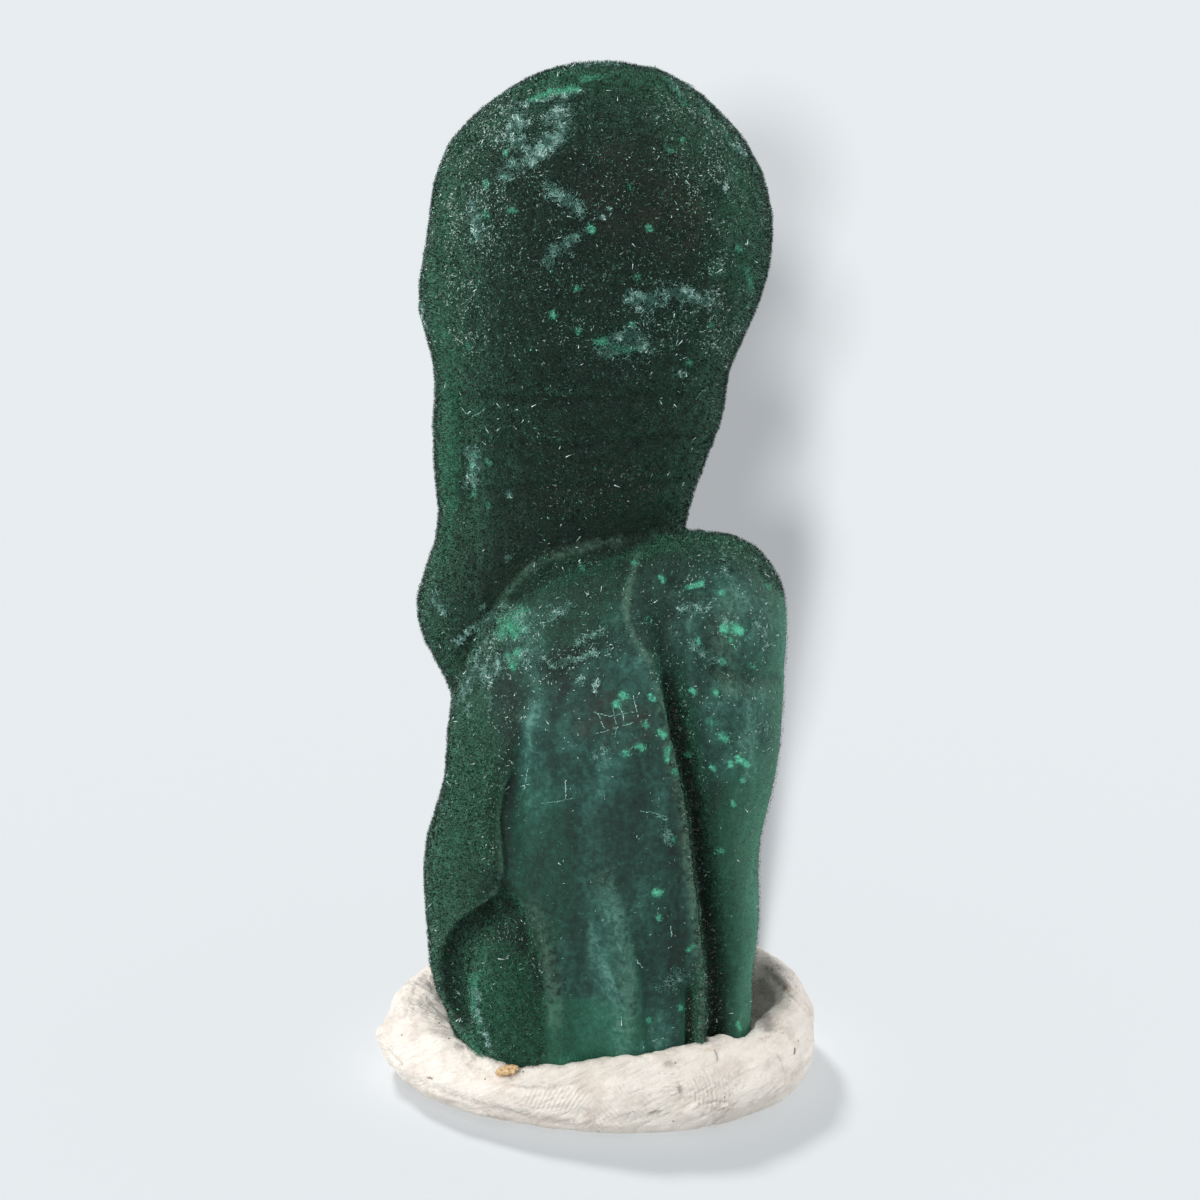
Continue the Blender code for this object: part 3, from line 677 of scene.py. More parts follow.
def relief(points, normals):
    """How far the folds, swellings and unevenness move each point outwards."""
    moved = np.zeros(len(points))
    flat = points[:, [0, 2]]
    for face, height, left_reach, right_reach, path in FOLDS.values():
        side, along = beside(flat, path)
        reach = np.where(side < 0, left_reach, right_reach)
        faces_it = eased(0.15 + 1.6 * face * normals[:, 1])
        ends = eased(along / 0.2) * eased((1 - along) / 0.08 + (path[-1][1] < 9))
        moved += height * np.exp(-((side / reach) ** 2)) * faces_it * ends
    for middle, reach, height in SWELLINGS:
        away = np.linalg.norm(points - middle, axis=1)
        moved += height * np.exp(-((away / reach) ** 2))
    return moved + lumps(points, *STONE_LUMPS)


def growth(rows, rings, around):
    """A lobe of the malachite as a grid, with its relief."""
    grid = lofted(rows, rings, around)
    normals = normals_of(grid)
    points = grid.reshape(-1, 3)
    amount = relief(points, normals.reshape(-1, 3)).reshape(grid.shape[:2])
    amount *= eased((grid[:, :, 2] - FOOT_HEIGHT) / 3)
    return grid + normals * amount[:, :, None]


# The photograph's camera
TARGET = Vector((0.0, 0.0, 53.6))
DISTANCE = 480.0
ELEVATION = math.radians(17)
SENSOR = 36.0
MM_PER_PIXEL = 0.107
FRAME = 1200 * MM_PER_PIXEL
TOWARDS_CAMERA = Vector((0, -math.cos(ELEVATION), math.sin(ELEVATION)))
CAMERA_UP = Vector((0, math.sin(ELEVATION), math.cos(ELEVATION)))
EYE = TARGET + TOWARDS_CAMERA * DISTANCE


def mesh_object(name, points, faces):
    """A new object from points in millimetres and faces."""
    mesh = bpy.data.meshes.new(name)
    mesh.from_pydata((np.asarray(points) * MM).tolist(), [], faces)
    mesh.update()
    obj = bpy.data.objects.new(name, mesh)
    bpy.context.scene.collection.objects.link(obj)
    return obj


def closed_faces(rings, around, first=0):
    """Faces over a grid of rings with a fan at either end, whose middle comes after the rings."""
    faces = []
    for k in range(rings - 1):
        low, high = first + k * around, first + (k + 1) * around
        for i in range(around):
            j = (i + 1) % around
            faces.append((low + i, low + j, high + j, high + i))
    for start, middle, order in (
        (first, first + rings * around, -1),
        (first + (rings - 1) * around, first + rings * around + 1, 1),
    ):
        for i in range(around):
            pair = (start + i, start + (i + 1) % around)[::order]
            faces.append((*pair, middle))
    return faces


def closed_points(grid):
    """The grid's points, then the middles of its first and last rings."""
    return np.concatenate([grid.reshape(-1, 3), [grid[0].mean(0)], [grid[-1].mean(0)]])


def applied(obj):
    """Turns the object's modifiers into its mesh."""
    bpy.context.view_layer.update()
    depsgraph = bpy.context.evaluated_depsgraph_get()
    made = bpy.data.meshes.new_from_object(obj.evaluated_get(depsgraph))
    old = obj.data
    obj.modifiers.clear()
    obj.data = made
    made.name = old.name
    bpy.data.meshes.remove(old)
    return obj


def points_of(obj):
    """The object's points in millimetres."""
    flat = np.empty(len(obj.data.vertices) * 3)
    obj.data.vertices.foreach_get("co", flat)
    return flat.reshape(-1, 3) / MM


def directions_of(obj):
    """The outward direction at each of the object's points."""
    flat = np.empty(len(obj.data.vertices) * 3)
    obj.data.vertices.foreach_get("normal", flat)
    return flat.reshape(-1, 3)


def set_points(obj, points):
    """Moves the object's points to those given, in millimetres."""
    obj.data.vertices.foreach_set("co", (points * MM).ravel())
    obj.data.update()


def smooth_shaded(obj):
    """Shades the object without facets."""
    obj.data.polygons.foreach_set("use_smooth", [True] * len(obj.data.polygons))


def stone_skin():
    """The stone's two lobes under one even skin, a little inside the solid."""
    grids = [growth(FINGER, *FINGER_GRID), growth(LOBE, *LOBE_GRID)]
    points, faces, first = [], [], 0
    for grid in grids:
        grid = grid - normals_of(grid) * SUNK
        grid[:, :, 2] = np.clip(grid[:, :, 2], FOOT_HEIGHT, None)
        points.append(closed_points(grid))
        faces += closed_faces(grid.shape[0], grid.shape[1], first)
        first += len(points[-1])
    obj = mesh_object("stone", np.concatenate(points), faces)
    skin = obj.modifiers.new("skin", "REMESH")
    skin.mode = "VOXEL"
    skin.voxel_size = STONE_GRAIN * MM
    soft = obj.modifiers.new("soft", "SMOOTH")
    soft.factor = 0.5
    soft.iterations = 2
    return applied(obj)


def with_relief(stone, samples):
    """Roughens the stone's coarse parts and keeps the numbers that its materials read."""
    points, normals = points_of(stone), directions_of(stone)
    kinds = "dark_and_shade", "red", "pale", "green_and_rim_light"
    numbers = {kind: area_of(kind, points, normals) for kind in kinds}
    numbers["clump"] = clumps(points)
    numbers["pale"] *= 0.15 + 1.1 * numbers["clump"]
    numbers["smooth"] = smoothness(points, normals)
    numbers.update({kind: line_of(kind, points, normals) for kind in ("deep", "ridge_and_highlight")})
    numbers.update(marked(points, samples))
    coarse = 1 - numbers["smooth"]
    amount = lumps(points, 0.18, 1.5) + lumps(points + 50, 0.14, 0.7)
    amount = amount * coarse + 0.12 * numbers["smooth"]
    amount += 0.25 * numbers["ridge_and_highlight"] - 0.45 * numbers["deep"]
    set_points(stone, points + normals * amount[:, None])
    for key, values in numbers.items():
        keep_numbers(stone, key, values)
    return numbers


def putty_skin(stone_tree):
    """The putty's outside, with a pocket that the stone's foot fills."""
    turn = np.arange(PUTTY_AROUND) * 2 * math.pi / PUTTY_AROUND
    rows = np.array(PUTTY, float)
    turns = [rows + [shift, 0, 0, 0, 0] for shift in (-360, 0, 360)]
    angle, *columns = np.concatenate(turns).T
    columns = [spline(angle, c, np.degrees(turn)) for c in columns]
    rings = []
    for i in range(PUTTY_AROUND):
        radius, crest, inset, inner = (c[i] for c in columns)
        middle = radius - inset
        outward = Vector((math.cos(turn[i]), math.sin(turn[i]), 0))
        meets = []
        for height in (inner - 0.2, 3.6):
            start = outward * 40 + Vector((0, 0, height))
            hit = stone_tree.ray_cast(start, -outward)[0]
            meets.append(math.hypot(hit.x, hit.y) - 0.12)
        lip = min(meets[0] + 0.9, middle - 0.2)
        profile = [
            (radius * 0.3, 0),
            (radius * 0.62, 0),
            (radius - 3.4, 0),
            (radius - 1.5, 0.5),
            (radius - 0.35, 1.9),
            (radius, 0.45 * crest),
            (radius - 0.3 * inset, 0.82 * crest),
            (middle, crest),
            (max(middle - 1.6, lip + 0.1), crest - 0.25 * (crest - inner)),
            (max(min(middle - 3.2, middle - 0.6), lip), inner),
            (meets[0], inner - 0.2),
        ]
        knots = np.array(profile)
        lengths = np.append(0, np.cumsum(np.hypot(*np.diff(knots, axis=0).T) + 1e-3))
        upper = np.linspace(lengths[2], lengths[-1], PUTTY_RINGS)
        at = np.concatenate([lengths[:3], upper[1:]])
        ring = np.stack([spline(lengths, knots[:, k], at) for k in (0, 1)], axis=1)
        ring[:, 1] = np.clip(ring[:, 1], 0, None)
        ring[:3, 1] = 0
        pocket = [(meets[1], 3.6), (meets[1] - 0.6, FOOT_HEIGHT), (radius * 0.3, FOOT_HEIGHT)]
        rings.append(np.concatenate([ring, pocket]))
    profile = np.array(rings).transpose(1, 0, 2)
    radial = profile[:, :, 0]
    grid = np.stack(
        [radial * np.cos(turn), radial * np.sin(turn), profile[:, :, 1]], axis=2
    )
    points, normals = grid.reshape(-1, 3), normals_of(grid).reshape(-1, 3)
    amount = lumps(points, *PUTTY_LUMPS)
    middle, reach, height = NUB
    amount += height * np.exp(-((np.linalg.norm(points - middle, axis=1) / reach) ** 2))
    amount = amount * eased(points[:, 2] / 1.5)
    amount.reshape(grid.shape[:2])[-5:] = 0
    grid = (points + normals * amount[:, None]).reshape(grid.shape)
    return mesh_object("kneaded_putty", closed_points(grid), closed_faces(*grid.shape[:2]))


def tree_of(obj):
    """A tree over the object's faces, in millimetres, that a ray can be cast at."""
    points = points_of(obj)
    return BVHTree.FromPolygons(points.tolist(), [p.vertices[:] for p in obj.data.polygons])


def seen_at(trees, x, y):
    """The point and direction of the first surface that the photograph shows at a pixel."""
    across = (x - 600) * MM_PER_PIXEL
    up = (600 - y) * MM_PER_PIXEL
    aim = (Vector((1, 0, 0)) * across + CAMERA_UP * up - TOWARDS_CAMERA * DISTANCE).normalized()
    hits = [tree.ray_cast(EYE, aim) for tree in trees]
    hits = [(hit[3], hit[0], hit[1]) for hit in hits if hit[0] is not None]
    if not hits:
        return None
    return min(hits, key=lambda hit: hit[0])[1:]


def point_tree(points):
    """A tree over the points that finds those near a place."""
    tree = KDTree(len(points))
    for i, point in enumerate(points):
        tree.insert(point, i)
    tree.balance()
    return tree


def along_paths(points, trees, rows):
    """For each row of (value, reach, path), a bell of that value over the points near its path."""
    tree = point_tree(points)
    for value, reach, path in rows:
        path = np.array(path, float)
        lengths = lengths_along(path)
        at = np.linspace(0, lengths[-1], max(2, round(lengths[-1] / 1.2)))
        spots = zip(*(np.interp(at, lengths, column) for column in path.T))
        reach *= MM_PER_PIXEL
        bell = np.zeros(len(points))
        for spot, share in zip(spots, at / lengths[-1]):
            hit = seen_at(trees, *spot)
            if hit:
                fade = min(1, 3 * min(share, 1 - share) + 0.35)
                for _, i, away in tree.find_range(hit[0], reach * 2.3):
                    bell[i] = max(bell[i], fade * math.exp(-((away / reach) ** 2)))
        yield value * bell


def along_ring(points, along, across):
    """The points' places along the putty's ring, out from its middle and up, over their spreads."""
    turn = np.arctan2(points[:, 1], points[:, 0])
    radius = np.hypot(points[:, 0], points[:, 1])
    return np.stack([turn * PUTTY_MIDDLE / along, radius / across, points[:, 2] / across], axis=1)


def creases(points, slant, offset):
    """Thin creases that run along the putty's ring at a slant, in some parts of it: 0 to 1."""
    along = np.arctan2(points[:, 1], points[:, 0]) * PUTTY_MIDDLE
    up = points[:, 2] - np.hypot(points[:, 0], points[:, 1])
    slant = math.radians(slant)
    u = along * math.cos(slant) + up * math.sin(slant)
    v = up * math.cos(slant) - along * math.sin(slant)
    fine = [noise.noise(Vector((a / 5, b / 0.75, offset))) for a, b in zip(u, v)]
    broad = [noise.noise(Vector((a / 6, b / 5, offset + 9))) for a, b in zip(along, up)]
    lines = np.clip(1 - 6 * np.abs(fine), 0, 1)
    return lines * eased(np.array(broad) * 3 + 0.35)


def kneaded_relief(putty, stone_tree):
    """Folds, creases, pits and stains of the putty, and the shade painted into its creases and
    beside the stone.
    """
    points, normals = points_of(putty), directions_of(putty)
    amount = lumps(points + 30, 0.3, 2.8) + lumps(points + 70, 0.12, 1.1)
    amount += sum(lumps(along_ring(points, *spread), height, 1.0) for height, *spread in DRAWN_OUT)
    set_points(putty, points + normals * (amount * eased(points[:, 2] / 1.5))[:, None])
    points, normals = points_of(putty), directions_of(putty)
    trees = [tree_of(putty), stone_tree]
    folds = sum(along_paths(points, trees, PUTTY_FOLDS))
    for slant, offset in CREASES:
        folds = folds - CREASE_DEPTH * creases(points, slant, offset)
    set_points(putty, points + normals * folds[:, None] * (points[:, 2:3] > 0.05))
    rows = [(strength, reach, path) for _, reach, strength, path in STAINS]
    numbers = {kind: np.zeros(len(points)) for kind in ("grime_and_shade", "rust", "dot")}
    for (kind, *_), stain in zip(STAINS, along_paths(points, trees, rows)):
        numbers[kind] = np.maximum(numbers[kind], stain)
    # Painted shade: the deeper a crease, the darker it is painted, and the putty is painted darker
    # close to the stone
    deep = np.clip(-folds * 1.7 - 0.12, 0, 0.5)
    numbers["grime_and_shade"] = np.maximum(numbers["grime_and_shade"], deep)
    near_stone = np.array([stone_tree.find_nearest(p, 2.5)[3] or 2.5 for p in points])
    numbers["grime_and_shade"] = np.maximum(numbers["grime_and_shade"], 0.45 * eased(1 - near_stone / 1.1))
    x, y = in_picture(points)
    facing = facing_camera(normals, 2, 0)
    ridges = np.zeros(len(points))
    for centre, middle, size in PRINTS:
        round_it = np.hypot(x - centre[0], y - centre[1]) * MM_PER_PIXEL
        away = ((x - middle[0]) / size[0]) ** 2 + ((y - middle[1]) / size[1]) ** 2
        wave = np.cos(round_it * 2 * math.pi / RIDGE_SPACING)
        ridges = np.where(away < 1.2, wave * eased((1.2 - away) / 0.6), ridges)
    numbers["ridges"] = ridges * facing
    set_points(putty, points_of(putty) + normals * (RIDGE_HEIGHT * numbers["ridges"])[:, None])
    for key, values in numbers.items():
        keep_numbers(putty, key, values)


def flake_of_rock():
    """The tan flake: a rough, chipped version of its solid."""
    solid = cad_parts["chip"]
    obj = bpy.data.objects.new("rock_flake", solid.data.copy())
    bpy.context.scene.collection.objects.link(obj)
    finer = obj.modifiers.new("finer", "SUBSURF")
    finer.subdivision_type = "SIMPLE"
    finer.levels = 4
    finer.render_levels = 4
    applied(obj)
    points, normals = points_of(obj), directions_of(obj)
    amount = lumps(points, 0.18, 0.5) + lumps(points + 40, 0.1, 0.2) - 0.06
    points = points + normals * amount[:, None]
    points[:, 2] += 0.28 * (points[:, 0] - points[:, 0].mean()) + 0.25
    set_points(obj, points)
    return obj


def socket(value, tree, target):
    """Links a socket to the target, or sets a plain value on it."""
    if isinstance(value, bpy.types.NodeSocket):
        tree.links.new(value, target)
    else:
        target.default_value = value


def node(tree, kind, settings=(), **inputs):
    """A new node with its settings and inputs, named with spaces as underscores."""
    made = tree.nodes.new(f"ShaderNode{kind}")
    for key, value in dict(settings).items():
        setattr(made, key, value)
    for key, value in inputs.items():
        key = key.replace("_", " ").strip()
        target = made.inputs[int(key)] if key.isdigit() else made.inputs[key]
        socket(value, tree, target)
    return made


def set_inputs(shader, **values):
    """Sets plain values on the shader's inputs, named with spaces as underscores."""
    for name, value in values.items():
        shader.inputs[name.replace("_", " ")].default_value = value


def linear(colour):
    """A display colour of 0 to 255 as the linear colour that a shader takes."""
    shares = [c / 255 for c in colour]
    return [*(s / 12.92 if s <= 0.04045 else ((s + 0.055) / 1.055) ** 2.4 for s in shares), 1]


def ramp(tree, fac, *stops):
    """A colour ramp: each stop is its place and a display colour."""
    made = tree.nodes.new("ShaderNodeValToRGB")
    socket(fac, tree, made.inputs[0])
    elements = made.color_ramp.elements
    while len(elements) < len(stops):
        elements.new(0.5)
    for element, (place, colour) in zip(elements, stops):
        element.position = place
        element.color = linear(colour)
    return made.outputs[0]


def new_material(name):
    """An empty material, its node tree and its shader."""
    made = bpy.data.materials.new(name)
    made.use_nodes = True
    return made, made.node_tree, made.node_tree.nodes["Principled BSDF"]


def in_mm(tree):
    """The place on the object in millimetres."""
    place = node(tree, "TexCoord").outputs["Object"]
    scaled = node(tree, "VectorMath", {"operation": "SCALE"}, **{"0": place, "Scale": 1 / MM})
    return scaled.outputs[0]


def noise_at(tree, place, scale, detail, rough, twist=0.0):
    """Noise of a scale for each millimetre."""
    made = node(tree, "TexNoise", Vector=place, Scale=scale, Detail=detail, Roughness=rough)
    set_inputs(made, Distortion=twist)
    return made.outputs["Fac"]


def calc(tree, operation, a, b):
    """One sum on numbers or sockets."""
    return node(tree, "Math", {"operation": operation}, **{"0": a, "1": b}).outputs[0]


def times(tree, a, b):
    """The product of two numbers or sockets."""
    return calc(tree, operation="MULTIPLY", a=a, b=b)


def plus(tree, a, b):
    """The sum of two numbers or sockets."""
    return calc(tree, operation="ADD", a=a, b=b)


def between(tree, value, low, high):
    """0 below the low value, 1 above the high one, smooth between."""
    smooth = {"interpolation_type": "SMOOTHSTEP"}
    return node(tree, "MapRange", smooth, Value=value, From_Min=low, From_Max=high).outputs[0]


def mixed(tree, share, a, b):
    """Colour a turned into colour b by the share."""
    made = tree.nodes.new("ShaderNodeMix")
    made.data_type = "RGBA"
    socket(share, tree, made.inputs[0])
    socket(a if isinstance(a, bpy.types.NodeSocket) else linear(a), tree, made.inputs[6])
    socket(b if isinstance(b, bpy.types.NodeSocket) else linear(b), tree, made.inputs[7])
    return made.outputs[2]


def attribute(tree, name):
    """A number kept on the mesh's points."""
    return node(tree, "Attribute", {"attribute_name": name}).outputs["Fac"]


def bump(tree, height, strength, distance):
    """A bump of the height given, over a distance in metres."""
    return node(tree, "Bump", Height=height, Strength=strength, Distance=distance).outputs[0]


def triangles_object(name, corners, numbers):
    """A mesh of loose triangles from their corners, with numbers kept on each of its points."""
    count = len(corners)
    mesh = bpy.data.meshes.new(name)
    mesh.vertices.add(3 * count)
    mesh.vertices.foreach_set("co", (corners * MM).ravel())
    mesh.loops.add(3 * count)
    mesh.loops.foreach_set("vertex_index", np.arange(3 * count))
    mesh.polygons.add(count)
    mesh.polygons.foreach_set("loop_start", np.arange(0, 3 * count, 3))
    mesh.update(calc_edges=True)
    obj = bpy.data.objects.new(name, mesh)
    bpy.context.scene.collection.objects.link(obj)
    for key, values in numbers.items():
        keep_numbers(obj, key, values)
    return obj


def keep_numbers(obj, name, values):
    """Keeps a number on each of the object's points for its material to read."""
    kept = obj.data.attributes.new(name, "FLOAT", "POINT")
    kept.data.foreach_set("value", np.asarray(values, np.float32).ravel())


def unit(vectors):
    """The vectors at length 1."""
    return vectors / np.maximum(np.linalg.norm(vectors, axis=-1, keepdims=True), 1e-9)


def in_picture(points):
    """The pixel of the photograph at which each point lies."""
    away = points - np.array(EYE)
    depth = -away @ np.array(TOWARDS_CAMERA)
    scale = DISTANCE / depth / MM_PER_PIXEL
    return 600 + away[:, 0] * scale, 600 - (away @ np.array(CAMERA_UP)) * scale


def facing_camera(normals, slope, shift):
    """How far each direction is turned to the photograph's camera: 0 to 1."""
    return eased(normals @ np.array(TOWARDS_CAMERA) * slope + shift)


def area_of(kind, points, normals):
    """How strongly each point lies in the front areas of a kind."""
    x, y = in_picture(points)
    facing = facing_camera(normals, 2.2, -0.1)
    total = np.zeros(len(points))
    for name, middle_x, middle_y, half_wide, half_high, strength in AREAS:
        if name == kind:
            away = ((x - middle_x) / half_wide) ** 2 + ((y - middle_y) / half_high) ** 2
            total = np.maximum(total, strength * eased((1.35 - away) / 0.7))
    return total * facing


def smoothness(points, normals):
    """How smooth the stone is at each point: 0 among the needles, 1 on the bare parts."""
    flat = np.stack(in_picture(points), axis=1)
    total = np.zeros(len(points))
    for fade, strength, outline in SMOOTH:
        outline = np.array(outline, float)
        near = np.all((flat > outline.min(0) - 20) & (flat < outline.max(0) + 20), axis=1)
        near &= normals[:, 1] < 0.3
        spots = flat[near]
        inside = np.zeros(len(spots), bool)
        edge = np.full(len(spots), 1e9)
        for start, end in zip(outline, np.roll(outline, -1, axis=0)):
            crosses = (start[1] > spots[:, 1]) != (end[1] > spots[:, 1])
            rise = end[1] - start[1] or 1e-9
            at = start[0] + (spots[:, 1] - start[1]) / rise * (end[0] - start[0])
            inside ^= crosses & (spots[:, 0] < at)
            step = end - start
            along = np.clip((spots - start) @ step / (step @ step), 0, 1)
            edge = np.minimum(edge, np.linalg.norm(spots - start - along[:, None] * step, axis=1))
        value = eased(0.5 + np.where(inside, edge, -edge) / fade)
        total[near] = np.maximum(total[near], strength * value)
    return total * eased(1.5 - 3 * normals[:, 1])


def line_of(kind, points, normals):
    """How strongly each point lies on the front lines of a kind."""
    facing = facing_camera(normals, 2.2, 0.1)
    flat = np.stack(in_picture(points), axis=1) * [1, -1]
    total = np.zeros(len(points))
    for name, left, right, strength, path in LINES:
        if name != kind:
            continue
        path = np.array(path, float) * [1, -1]
        near = np.all((flat > path.min(0) - 60) & (flat < path.max(0) + 60), axis=1) & (facing > 0)
        side, along = beside(flat[near], path)
        reach = np.where(side < 0, left, right)
        ends = eased(along / 0.08) * eased((1 - along) / 0.05 + (path[-1, 1] < -1000))
        total[near] = np.maximum(total[near], strength * np.exp(-((side / reach) ** 2)) * ends)
    return total * facing


def mark_samples(tree, chance):
    """Places on the stone along each mark, strewn a little to either side of it."""
    samples = []
    for kind, reach, strength, path in MARKS:
        path = np.array(path, float)
        wander = WANDER[kind] * reach
        for start, step in zip(path, np.diff(path, axis=0)):
            count = max(1, round(np.hypot(*step) / 1.6))
            for k in range(count + 1):
                hit = seen_at([tree], *(start + step * k / count + chance.normal(size=2) * wander))
                if hit:
                    here = strength * chance.uniform(0.75, 1)
                    samples.append((kind, *hit, reach * MM_PER_PIXEL, here))
    return samples


def scratches(tree, chance):
    """Thin pale scratches: a broken row of splinters along each."""
    corners, tones = [], []
    for kind, reach, strength, path in MARKS:
        if kind != "scratch":
            continue
        path = np.array(path, float)
        lengths = lengths_along(path)
        at = np.arange(0, lengths[-1] + 0.01, 1.4)
        spots = np.stack([np.interp(at, lengths, column) for column in path.T], axis=1)
        spots += chance.normal(size=spots.shape) * 0.35
        hits = [hit for hit in (seen_at([tree], *spot) for spot in spots) if hit]
        for (start, up), (end, _) in zip(hits, hits[1:]):
            if chance.random() < 0.22:
                continue
            start, end, up = np.array(start), np.array(end), np.array(up)
            side = unit(np.cross(end - start, up)) * reach * MM_PER_PIXEL
            side *= chance.uniform(0.35, 0.75)
            rise = up * chance.uniform(0.22, 0.3)
            far = end + (end - start) * chance.uniform(0.1, 0.7)
            corners.append([start - side + rise, start + side + rise, far + rise])
            tones.append(strength * chance.uniform(0.1, 0.65))
    return np.array(corners), np.array(tones)


def blotches(points):
    """Breaks a mark of frost up into irregular spots: 0 to 1."""
    broad, fine = noise_over(points, 0.95), noise_over(points, 0.42, (5, 5, 5))
    return np.clip(0.38 + 2.5 * broad + 1.3 * fine, 0, 1)


def clumps(points):
    """How far a coarse crust has gathered at each point: 0 to 1, in clumps 1 to 3 mm wide."""
    broad, fine = noise_over(points, 2.6, (3, 8, 1)), noise_over(points, 1.0, (7, 1, 4))
    return np.clip(0.45 + 1.9 * broad + 0.9 * fine, 0, 1)


def marked(points, samples):
    """How strongly each point is marked, by the kind of mark."""
    tree = point_tree(points)
    values = {kind: np.zeros(len(points)) for kind in ("mint", "frost")}
    for kind, middle, _, reach, strength in samples:
        if kind not in values:
            continue
        value = values[kind]
        reach = max(reach * 1.1, 0.55)
        for _, i, away in tree.find_range(middle, reach):
            value[i] = max(value[i], strength * (1 - (away / reach) ** 2))
    values["frost"] *= blotches(points)
    return values


def scattered(obj, count, density, chance):
    """Random places over the object's faces: their points, directions and faces' own points."""
    mesh = obj.data
    mesh.calc_loop_triangles()
    flat = np.empty(len(mesh.loop_triangles) * 3, np.int32)
    mesh.loop_triangles.foreach_get("vertices", flat)
    corners = flat.reshape(-1, 3)
    points, normals = points_of(obj), directions_of(obj)
    a, b, c = (points[corners[:, k]] for k in range(3))
    area = np.linalg.norm(np.cross(b - a, c - a), axis=1) * density[corners].mean(1)
    running = np.cumsum(area)
    face = np.searchsorted(running, chance.random(count) * running[-1])
    u, v = chance.random(count), chance.random(count)
    over = u + v > 1
    u[over], v[over] = 1 - u[over], 1 - v[over]
    weights = np.stack([1 - u - v, u, v], axis=1)
    own = corners[np.minimum(face, len(corners) - 1)]
    place = (points[own] * weights[:, :, None]).sum(1)
    direction = unit((normals[own] * weights[:, :, None]).sum(1))
    return place, direction, own, weights


def sideways(direction, chance):
    """A random direction along the surface for each outward direction."""
    return unit(np.cross(direction, chance.normal(size=direction.shape)))


def nap(name, stone, numbers, count, seed):
    """A share of the stone's needles: single thin blades that stand up and lean."""
    chance = np.random.default_rng(seed)
    smooth = numbers["smooth"]
    density = (1 - 0.85 * smooth) * (points_of(stone)[:, 2] > 5)
    place, direction, own, weights = scattered(stone, count, density, chance)
    here = {key: (values[own] * weights).sum(1) for key, values in numbers.items()}
    comb = np.array([noise.noise_vector(Vector(p) / 4) for p in place])
    lean = chance.normal(size=(count, 3)) * 0.38 + comb * 0.5
    lean -= direction * (lean * direction).sum(1, keepdims=True)
    aim = unit(direction + lean)
    across = sideways(aim, chance)
    length = chance.uniform(0.26, 0.5, count) * (1 - 0.6 * here["smooth"])
    width = chance.uniform(0.07, 0.12, count) * (1 - 0.3 * here["smooth"])
    foot = place - direction * 0.05
    side = across * width[:, None] / 2
    corners = np.stack([foot - side, foot + side, foot + aim * length[:, None]], axis=1)
    tone = 0.06 + 0.95 * chance.random(count) ** 2.6 + 0.6 * noise_over(place, 0.5)
    tone += 0.36 * (here["clump"] - 0.5)
    # Painted shade darkens the needles in the dark areas and deep lines, and a painted highlight
    # lightens them on the ridges and green edges
    tone *= np.clip(1 - 0.8 * here["dark_and_shade"] - 0.75 * here["deep"], 0.06, 1)
    tone += 0.27 * here["green_and_rim_light"] + 0.18 * here["pale"] + 0.25 * here["ridge_and_highlight"]
    # Painted shade and highlight: each needle is darker at its foot, among the others, and
    # brightest at its tip
    gradient = np.array([0.3, 0.3, 1.0])
    spread = {"tone": np.clip(tone[:, None] * gradient, 0, 1).ravel()}
    return triangles_object(name, corners, spread)


def strands(name, stone, numbers, count, seed):
    """Fine strands and splinters that lie on the needles, dull to pale, in webs and patches."""
    chance = np.random.default_rng(seed)
    points = points_of(stone)
    web = 1 - 3.2 * np.abs(noise_over(points, 1.9))
    patches = noise_over(points, 8, (9, 4, 2))
    behind = eased(directions_of(stone)[:, 1] + 0.2)
    pale = numbers["pale"] + behind * eased((patches - 0.12) / 0.3)
    density = 0.3 + 0.5 * numbers["clump"] + np.clip(web, 0, 1) * (0.25 + 2.0 * pale)
    # Fewer strands in the dark areas, which are partly painted shade
    density *= (1 - 0.93 * numbers["smooth"]) * (1 - 0.5 * numbers["dark_and_shade"]) * (points[:, 2] > 5)
    place, direction, own, weights = scattered(stone, count, density, chance)
    pale_here = (pale[own] * weights).sum(1)
    # Painted shade: strands are darker in the dark areas and along the deep lines
    dark_and_shade_here = ((numbers["dark_and_shade"] + numbers["deep"])[own] * weights).sum(1)
    aim = unit(sideways(direction, chance) + direction * chance.normal(size=(count, 1)) * 0.3)
    across = unit(np.cross(aim, direction + 0.4 * chance.normal(size=(count, 3))))
    crust = noise_over(place, 0.6)
    tone = chance.random(count) ** 3 * (0.8 + 0.25 * pale_here) + 0.3 * crust + 0.08 * pale_here
    green_here = (numbers["green_and_rim_light"][own] * weights).sum(1)
    tone = np.clip(tone * np.clip(1 - 0.5 * dark_and_shade_here - 0.35 * green_here, 0.1, 1), 0, 1)
    length = chance.uniform(0.12, 0.34, count) * (0.8 + 0.5 * tone**2)
    width = chance.uniform(0.05, 0.085, count) * (0.9 + 0.4 * tone**2)
    middle = place + direction * chance.uniform(0.1, 0.32, count)[:, None]
    tip = aim * length[:, None] / 2
    side = across * width[:, None] / 2
    corners = np.stack([middle - tip - side, middle - tip + side, middle + tip], axis=1)
    return triangles_object(name, corners, {"tone": np.repeat(tone, 3)})


def cluster(middle, up, reach, count, strength, kind, chance):
    """Places for the fragments of one cluster: points, directions, tones and kinds."""
    away = chance.normal(size=(count, 3)) * reach * 0.5
    away -= up * (away @ up)[:, None]
    near = np.exp(-((np.linalg.norm(away, axis=1) / reach) ** 2))
    tone = near * strength * chance.uniform(0.2, 1.1, count)
    if kind == "frost":
        tone *= blotches(middle + away)
    return middle + away, np.repeat(up[None], count, 0), tone, np.full(count, KINDS.index(kind))


